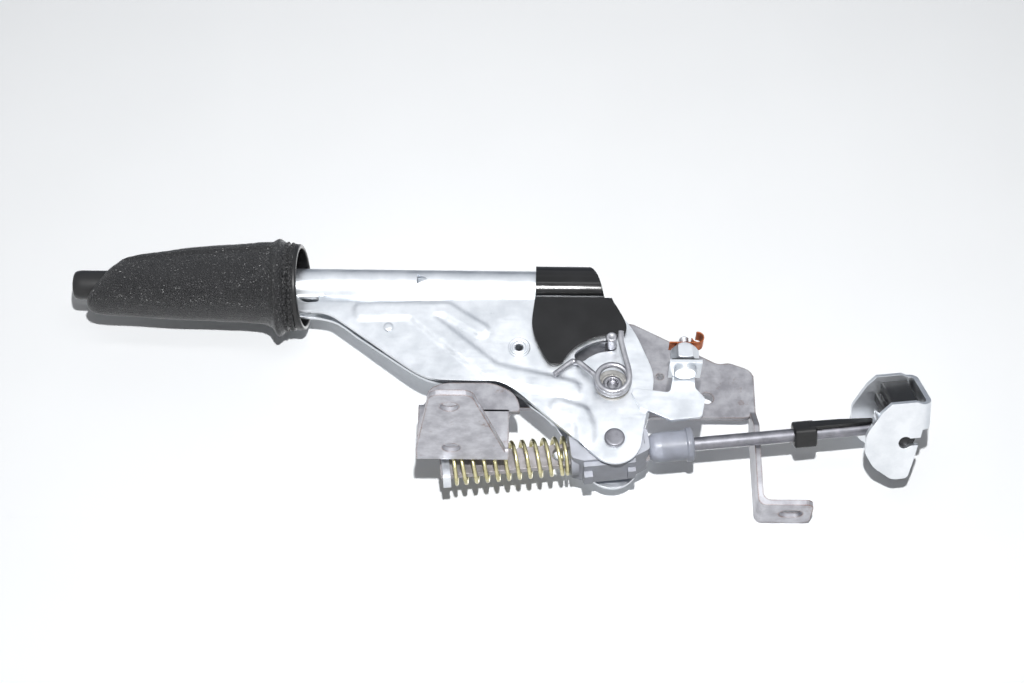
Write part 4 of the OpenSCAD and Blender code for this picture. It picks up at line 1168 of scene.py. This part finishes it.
class BRAKELEVER_OT_pins(bpy.types.Operator):
    """Turned pins, rivets and bushes with their chamfers, rolled rims and hollow ends"""

    bl_idname = "brakelever.pins"
    bl_label = "Pins and rivets"

    def execute(self, context):
        self.pivot()
        self.bushes()
        self.pawl_rivet()
        self.clevis()
        self.small_rivet()
        self.stud()
        return {"FINISHED"}

    def pivot(self):
        far = span("pivot_pin", 1, PIVOT)[1]
        near, shank, hole, head = -17.4, 5.0, 2.5, 7.3
        shape = eased(
            [
                (0, near + 3.2), (hole, near + 3.8), (hole, near + 0.9), (hole + 0.7, near),
                (shank - 0.8, near), (shank, near + 0.8), (shank, far - 2), (head, far - 2),
                (head, far - 0.5), (head - 0.8, far), (0, far),
            ],
            0.3,
        )
        solid_piece("pivot_rivet", [turned(shape, PIVOT)], "base", "hard_steel", "pivot_pin")

    def bushes(self):
        far = span("pivot_bushes", 1, PIVOT)[1]
        near = -16.4
        bore, outer, flange, wall, thick, middle = 5.05, 6.45, 9.0, 15.0, 0.8, 2.4
        shells = []
        for end, side in ((near, -1), (far, 1)):
            shape = eased(
                [
                    (bore, side * 8.0), (bore + 0.05, end), (outer - 0.3, end), (outer, end - side * 0.5),
                    (outer, side * (wall + thick)), (flange - 0.4, side * (wall + thick)),
                    (flange, side * (wall + thick - 0.4)), (flange, side * wall), (outer, side * wall),
                    (outer, side * middle), (bore, side * middle), (bore, side * 8.0),
                ],
                0.2,
            )
            shells.append(turned(shape, PIVOT))
        solid_piece("flanged_bushes", shells, "lever", "bush_metal", "pivot_bushes")

    def pawl_rivet(self):
        near, far = span("pawl_pin", 1, PAWL)
        bore, shank, head, thick = 2.0, 3.0, 5.9, 1.4

        def rolled(end, side):
            """Half of the profile: bore, rolled rim, groove and outer ring, down to the shank."""
            return [
                (bore, end - side * 4), (bore, end - side * 0.9), (bore + 0.5, end - side * 0.15),
                (bore + 1.1, end), (bore + 1.7, end - side * 0.3), (bore + 1.9, end - side * 0.85),
                (bore + 2.4, end - side * 0.95), (bore + 2.8, end - side * 0.5),
                (head - 0.5, end - side * 0.35), (head, end - side * 0.8), (head, end - side * thick),
                (shank, end - side * thick),
            ]

        shape = rolled(near, -1) + rolled(far, 1)[::-1]
        shape.append(shape[0])
        mesh = turned(eased(shape, 0.25), PAWL)
        solid_piece("hollow_rivet", [mesh], "lever", "zinc", "pawl_pin")

    def clevis(self):
        near, far = span("clevis_pin", 1, CLEVIS)
        shank, head, thick = 3.5, 5.3, 2.0
        shape = eased(
            [
                (0, near + 0.15), (head - 1.6, near), (head - 0.5, near + 0.1), (head, near + 0.7),
                (head, near + thick), (shank, near + thick), (shank, far - thick), (head, far - thick),
                (head, far - 0.7), (head - 0.5, far - 0.1), (head - 1.6, far), (0, far - 0.15),
            ],
            0.3,
        )
        solid_piece("headed_clevis_pin", [turned(shape, CLEVIS)], "lever", "dark_steel", "clevis_pin")

    def small_rivet(self):
        low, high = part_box("shell_rivet")
        middle = (Vector(low) + Vector(high)) / 2
        near, far = span("shell_rivet", 1, middle)
        shank, head = 1.5, (high[2] - low[2]) / 2 / MM
        half = [(0, near), (head * 0.5, near + 0.06), (head * 0.85, near + 0.3)]
        half += [(head, near + 0.6), (head, near + 0.9)]
        shape = half + [(shank, near + 0.9), (shank, far - 0.9)] + [(r, -a) for r, a in reversed(half)]
        solid_piece("small_rivet", [turned(shape, middle)], "lever", "zinc", "shell_rivet")

    def stud(self):
        low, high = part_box("stop_stud")
        middle = Vector(((low[0] + high[0]) / 2, PIVOT.y, (low[2] + high[2]) / 2))
        near, far = span("stop_stud", 1, middle)
        shank, head = 3.0, 4.5
        shape = eased(
            [
                (0, near + 0.4), (1.0, near + 0.3), (1.4, near), (shank - 0.6, near), (shank, near + 0.7),
                (shank, far - 2), (head, far - 2), (head, far - 0.5), (head - 0.6, far), (0, far),
            ],
            0.3,
        )
        solid_piece("riveted_stud", [turned(shape, middle)], "base", "hard_steel", "stop_stud")


class BRAKELEVER_OT_contact_fasteners(bpy.types.Operator):
    """Chamfered nut and threaded stud of the switch contact"""

    bl_idname = "brakelever.contact_fasteners"
    bl_label = "Contact nut and stud"

    flats: length("Flats", "Across flats of the nut", 13.0 * MM)
    pitch: length("Pitch", "Thread pitch of the stud", 1.0 * MM)

    def execute(self, context):
        low, high = (Vector(c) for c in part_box("switch_nut"))
        centre = Vector(((low.x + high.x) / 2, (low.y + high.y) / 2, low.z))
        self.nut(centre, (high.z - low.z) / MM)
        self.stud(centre)
        return {"FINISHED"}

    def nut(self, centre, height):
        half, bore, sides = self.flats / MM / 2, 4.06, 120
        face, slope = half * 0.97, math.tan(math.radians(30))
        rings = [[] for _ in range(8)]
        for a in circle(sides):
            corner = half / math.cos(a % (math.pi / 3) - math.pi / 6)
            drop = (corner - face) * slope
            profile = (
                (bore, 0.7), (bore + 0.7, 0.0), (face, 0.0), (corner, drop), (corner, height - drop),
                (face, height), (bore + 0.7, height), (bore, height - 0.7),
            )
            for ring, (r, z) in zip(rings, profile):
                ring.append(round_spot(centre, r, z, a))
        mesh = crisp(outward(loft(rings, closed=True)), 24)
        solid_piece("chamfered_nut", [mesh], "lever", "zinc", "switch_nut")

    def stud(self, centre):
        low, high = (Vector(c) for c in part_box("switch_stud"))
        bottom, top = (low.z - centre.z) / MM, (high.z - centre.z) / MM
        head, shaft, shoulder, tip, tip_length = (high.x - low.x) / 2 / MM, 4.0, 5.0, 2.5, 5.0
        nut_top, leaf = 8.0, top - tip_length
        pitch, depth, sides = self.pitch / MM, 0.42, 48
        body = [(0.0, bottom), (head - 0.5, bottom), (head, bottom + 0.5), (head, bottom + 2.5)]
        body += [(shaft, bottom + 2.5), (shaft, nut_top)]
        body += [(shoulder - 0.4, nut_top), (shoulder, nut_top + 0.4), (shoulder, leaf - 0.4)]
        body += [(shoulder - 0.4, leaf), (tip, leaf)]
        rings = [[] for _ in range(len(body))]
        for a in circle(sides):
            for ring, (r, z) in zip(rings, body):
                ring.append(round_spot(centre, r, z, a))
        # Thread cut as a single start round the tip
        count = 60
        for i in range(1, count + 1):
            z = leaf + tip_length * i / count
            ring = []
            for j, a in enumerate(circle(sides)):
                phase = (z / pitch - j / sides) % 1.0
                cut = depth * abs(2 * phase - 1) * min(1.0, (z - leaf) / 0.4)
                lead_in = max(0.0, z - top + 0.6)
                r = tip - max(cut, lead_in)
                ring.append(round_spot(centre, r, z, a))
            rings.append(ring)
        rings.append([centre + Vector((0, 0, top)) * MM] * sides)
        mesh = crisp(outward(loft(rings)), 40)
        solid_piece("threaded_stud", [mesh], "lever", "zinc", "switch_stud")


def on_rod(along, y, up):
    """Point in millimetres along the rod's axis from the clevis pin."""
    side = Vector((0, 1, 0))
    lift = ROD_DIR.cross(side)
    return CLEVIS + (ROD_DIR * along + side * y + lift * up) * MM


class BRAKELEVER_OT_springs(bpy.types.Operator):
    """Take-up, return and button springs of round wire"""

    bl_idname = "brakelever.springs"
    bl_label = "Springs"

    takeup_turns: bpy.props.IntProperty(
        name="Take-up turns", description="With the two closed ends", default=12
    )
    return_turns: bpy.props.FloatProperty(
        name="Return turns", description="Turns of the return spring", default=1.5
    )

    def execute(self, context):
        tree = wire_tree()
        self.take_up(tree)
        self.return_coil(tree)
        self.button_coil(tree)
        return {"FINISHED"}

    def take_up(self, tree):
        wire = sizes().takeup_wire / MM
        start, stop, turns, mean = -85.3 + wire / 2, -23.3 - wire / 2, self.takeup_turns, 9.5
        closed = wire * 1.05

        def place(k):
            if k < 1:
                return k * closed
            if k > turns - 1:
                return stop - start - (turns - k) * closed
            return closed + (k - 1) * (stop - start - 2 * closed) / (turns - 2)

        steps = 40
        path = []
        for i in range(turns * steps + 1):
            a = 2 * math.pi * i / steps
            path.append(on_rod(start + place(i / steps), mean * math.cos(a), mean * math.sin(a)))
        values = {"Radius": sizes().takeup_wire / 2, "Sides": 16, "Material": FINISH["yellow_zinc"]}
        mesh = run_tree(path_object(path), tree, values)
        piece = new_piece("takeup_coil", mesh, "adjuster", "yellow_zinc", "takeup_spring")
        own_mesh(piece)

    def button_coil(self, tree):
        """Coil behind the release button, which the button shortens in use; here it is built at its resting length
        on the lever and does not follow the button.
        """
        low, high = (Vector(c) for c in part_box("button_spring"))
        wire, turns, steps = 1.2, 4, 32
        start, stop = low.x / MM + wire / 2, high.x / MM - wire / 2
        mean = (high.z - low.z) / 2 / MM - wire / 2
        path = []
        for i in range(turns * steps + 1):
            a = 2 * math.pi * i / steps
            x = start + (stop - start) * i / (turns * steps)
            path.append(Vector((x * MM, PIVOT.y + mean * math.cos(a) * MM, TUBE_Z + mean * math.sin(a) * MM)))
        values = {"Radius": wire / 2 * MM, "Sides": 12, "Material": FINISH["hard_steel"]}
        mesh = run_tree(path_object(path), tree, values)
        piece = new_piece("button_coil", mesh, "lever", "hard_steel", "button_spring")
        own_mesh(piece)

    def return_coil(self, tree):
        wire = sizes().return_wire / MM
        hub, wall, flange, stud_x = 6.45, 15.0, 1.2, 2.58
        mean = hub + wire / 2 + 0.4
        start_y, rise = -wall - flange - wire / 2 - 2.0, self.return_turns * (wire + 0.25)
        inner_y = -wall - wire / 2 - 0.3
        coil = []
        steps = int(60 * self.return_turns)
        for i in range(steps + 1):
            a = math.radians(180 + 360 * self.return_turns * i / steps)
            coil.append((mean * math.cos(a), start_y - rise * i / steps, mean * math.sin(a)))
        hook = self.rounded(
            [(-30.4, inner_y, 5.2), (-22, inner_y, 12.3), (-20.4, inner_y, 13.1), (-18.9, inner_y, 12.7)]
            + [(-16.9, start_y + 0.4, 10.7), (-9.4, start_y, 3.6)]
        )
        lug = stud_x + wire / 2 + 0.3
        tail = self.rounded(
            [(mean * 0.97, start_y - rise, 4), (lug + 0.3, start_y - rise, 20), (lug, start_y - rise, 27)]
        )
        path = [at_pivot(*p) for p in hook + coil + tail]
        values = {"Radius": sizes().return_wire / 2, "Sides": 18, "Material": FINISH["hard_steel"]}
        mesh = run_tree(path_object(path), tree, values)
        new_piece("return_coil", mesh, "lever", "hard_steel", "return_spring")

    def rounded(self, points, steps=8):
        """Smooth run of points through the given ones."""
        out = []
        ends = [points[0]] + list(points) + [points[-1]]
        for k in range(1, len(ends) - 2):
            p0, p1, p2, p3 = (Vector(p) for p in ends[k - 1 : k + 3])
            for i in range(steps):
                t = i / steps
                out.append(
                    tuple(
                        0.5
                        * (
                            2 * p1
                            + (p2 - p0) * t
                            + (2 * p0 - 5 * p1 + 4 * p2 - p3) * t**2
                            + (3 * p1 - p0 - 3 * p2 + p3) * t**3
                        )
                    )
                )
        out.append(tuple(points[-1]))
        return out


def stage_paint(name, hex_colour, glow):
    """Pale matt surface that only the camera sees, from its front, so that it never hides the object."""
    material, tree, place = new_material(name)
    cloud = add(tree, "ShaderNodeTexNoise", {"Vector": place, "Scale": per_mm(60.0), "Detail": 3.0})
    base = linear(hex_colour)
    dim = tuple(c * 0.985 for c in base[:3]) + (1.0,)
    tone = add(tree, "ShaderNodeValToRGB", {"Fac": cloud}, stops=[(0.3, dim), (0.7, base)])
    matt = add(tree, "ShaderNodeBsdfDiffuse", {"Color": tone})
    lit = add(tree, "ShaderNodeEmission", {"Color": base, "Strength": glow})
    paint = add(tree, "ShaderNodeAddShader", {0: matt, 1: lit})
    clear = add(tree, "ShaderNodeBsdfTransparent")
    front = add(
        tree, "ShaderNodeMath", {0: 1.0, 1: add(tree, "ShaderNodeNewGeometry").outputs["Backfacing"]},
        operation="SUBTRACT",
    )
    seen = add(
        tree, "ShaderNodeMath", {0: add(tree, "ShaderNodeLightPath").outputs["Is Camera Ray"], 1: front},
        operation="MULTIPLY",
    )
    mix = add(tree, "ShaderNodeMixShader", {0: seen, 1: clear, 2: paint})
    close_material(tree, mix)
    return material


def stage_plane(name, corners, material):
    mesh = bpy.data.meshes.new(name)
    mesh.from_pydata(corners, [], [(0, 1, 2, 3)])
    mesh.materials.append(material)
    plane = linked(name, mesh)


def area_light(name, place, target, size, power, height=None):
    """Round lamp, or a rectangular one if it has a height."""
    data = bpy.data.lights.new(name, "AREA")
    data.shape = "RECTANGLE" if height else "DISK"
    data.size = size
    if height:
        data.size_y = height
    data.energy = power
    lamp = linked(name, data)
    lamp.location = place
    lamp.rotation_euler = (target - place).to_track_quat("-Z", "Y").to_euler()


class BRAKELEVER_OT_stage(bpy.types.Operator):
    """Pale table behind the lever, floor, lights, sky and the photograph's camera"""

    bl_idname = "brakelever.stage"
    bl_label = "Stage"

    tilt: angle("Tilt", "View from below", 30)
    roll: angle("Roll", "Turn of the frame", 0.6)
    distance: length("Distance", "From the camera to the middle of the view", 1.0)
    pixel: length("Pixel", "Size of a photograph pixel at the pivot", 0.53 * MM)

    def execute(self, context):
        self.table_and_floor()
        self.camera(context)
        self.lights()
        self.sky(context)
        context.scene.view_settings.view_transform = "Standard"
        return {"FINISHED"}

    def table_and_floor(self):
        low, high = (Vector(c) for c in CAD_BOX)
        far = 2.5
        back = high.y + 1.5 * MM
        under = low.z - 1.0 * MM
        stage_plane(
            "table", [(-far, back, -far), (far, back, -far), (far, back, far), (-far, back, far)],
            stage_paint("pale_table", "#F8FAFC", 0.02),
        )
        stage_plane(
            "floor", [(-far, -far, under), (far, -far, under), (far, far, under), (-far, far, under)],
            stage_paint("pale_floor", "#F1F2F5", 0.6),
        )

    def camera(self, context):
        forward = Vector((0, math.cos(self.tilt), math.sin(self.tilt)))
        right = Vector((1, 0, 0))
        up = right.cross(forward)
        turned_right = right * math.cos(self.roll) + up * math.sin(self.roll)
        turned_up = up * math.cos(self.roll) - right * math.sin(self.roll)
        offset = turned_right * (PIVOT_PX[0] - PHOTO_W / 2) + turned_up * (PHOTO_H / 2 - PIVOT_PX[1])
        target = PIVOT - offset * self.pixel
        data = bpy.data.cameras.new("photo_view")
        data.sensor_width = 36.0
        data.lens = data.sensor_width * self.distance / (self.pixel * PHOTO_W)
        data.clip_start, data.clip_end = 0.01, 20.0
        camera = linked("photo_view", data)
        turn = Matrix((turned_right, turned_up, -forward)).transposed().to_4x4()
        camera.matrix_world = Matrix.Translation(target - forward * self.distance) @ turn
        context.scene.camera = camera

    def lights(self):
        middle = (Vector(CAD_BOX[0]) + Vector(CAD_BOX[1])) / 2
        flash_rise = math.radians(-17)
        flash = middle + Vector((0.03, -math.cos(flash_rise), math.sin(flash_rise))) * 1.05
        area_light("flash", flash, middle, 0.03, 11.2)
        strip_rise = math.radians(6)
        strip = middle + Vector((0.0, -math.cos(strip_rise), math.sin(strip_rise))) * 1.1
        area_light("strip", strip, middle, 1.0, 1.0, 0.1)
        area_light("ceiling", middle + Vector((-0.2, -0.7, 1.2)), middle, 1.2, 1.4)
        area_light("behind", middle + Vector((0.3, 1.1, 0.8)), middle, 1.0, 5.0)

    def sky(self, context):
        world = bpy.data.worlds.new("soft_sky")
        world.use_nodes = True
        tree = world.node_tree
        tree.nodes.clear()
        rays = add(tree, "ShaderNodeLightPath").outputs
        direction = add(tree, "ShaderNodeTexCoord").outputs["Generated"]
        height = add(tree, "ShaderNodeSeparateXYZ", {"Vector": direction}).outputs["Z"]
        share = add(tree, "ShaderNodeMapRange", {0: height, 1: -1.0, 2: 1.0})
        # Metal mirrors a white room that is dimmer straight above and below
        tone = add(
            tree,
            "ShaderNodeValToRGB",
            {"Fac": share},
            stops=[
                (0.0, linear("#FFFFFF")), (0.2, linear("#E6E8EA")), (0.5, linear("#DBDDDF")),
                (0.76, linear("#E4E6E9")), (0.88, linear("#A6AAB0")), (1.0, linear("#82878F")),
            ],
        )
        room = add(tree, "ShaderNodeBackground", {"Color": tone, "Strength": 1.3})
        soft = add(tree, "ShaderNodeBackground", {"Color": linear("#F4F6FA"), "Strength": 0.12})
        white = add(tree, "ShaderNodeBackground", {"Color": linear("#F6F8FB"), "Strength": 1.0})
        mirrored = add(
            tree, "ShaderNodeMath", {0: rays["Is Glossy Ray"], 1: rays["Is Transmission Ray"]},
            operation="MAXIMUM",
        )
        lit = add(tree, "ShaderNodeMixShader", {0: mirrored, 1: soft, 2: room})
        mix = add(tree, "ShaderNodeMixShader", {0: rays["Is Camera Ray"], 1: lit, 2: white})
        add(tree, "ShaderNodeOutputWorld", {"Surface": mix})
        context.scene.world = world


OPERATORS = (
    BRAKELEVER_OT_finishes,
    BRAKELEVER_OT_leather_grip,
    BRAKELEVER_OT_stitching,
    BRAKELEVER_OT_grip_ends,
    BRAKELEVER_OT_pressed_halves,
    BRAKELEVER_OT_cover,
    BRAKELEVER_OT_bracket_flange,
    BRAKELEVER_OT_pins,
    BRAKELEVER_OT_contact_fasteners,
    BRAKELEVER_OT_springs,
    BRAKELEVER_OT_rod_fittings,
    BRAKELEVER_OT_stage,
)


class BRAKELEVER_PT_panel(bpy.types.Panel):
    """Lists the steps that dress the lever"""

    bl_label = "Brake Lever"
    bl_idname = "BRAKELEVER_PT_panel"
    bl_space_type = "VIEW_3D"
    bl_region_type = "UI"
    bl_category = "Brake Lever"

    def draw(self, context):
        for operator in OPERATORS:
            self.layout.operator(operator.bl_idname)
        for group in (context.scene.brake_lever_finishes, context.scene.brake_lever_sizes):
            for key in group.__annotations__:
                self.layout.prop(group, key)


CLASSES = (BrakeLeverFinishes, BrakeLeverSizes, *OPERATORS, BRAKELEVER_PT_panel)


def register():
    for item in CLASSES:
        bpy.utils.register_class(item)
    bpy.types.Scene.brake_lever_finishes = bpy.props.PointerProperty(type=BrakeLeverFinishes)
    bpy.types.Scene.brake_lever_sizes = bpy.props.PointerProperty(type=BrakeLeverSizes)


def unregister():
    del bpy.types.Scene.brake_lever_sizes
    del bpy.types.Scene.brake_lever_finishes
    for item in reversed(CLASSES):
        bpy.utils.unregister_class(item)


def main():
    register()
    bpy.ops.brakelever.finishes()
    bpy.ops.brakelever.leather_grip()
    bpy.ops.brakelever.stitching()
    bpy.ops.brakelever.grip_ends()
    bpy.ops.brakelever.pressed_halves()
    bpy.ops.brakelever.cover()
    bpy.ops.brakelever.bracket_flange()
    bpy.ops.brakelever.pins()
    bpy.ops.brakelever.contact_fasteners()
    bpy.ops.brakelever.springs()
    bpy.ops.brakelever.rod_fittings()
    bpy.ops.brakelever.stage()


if __name__ == "__main__":
    main()
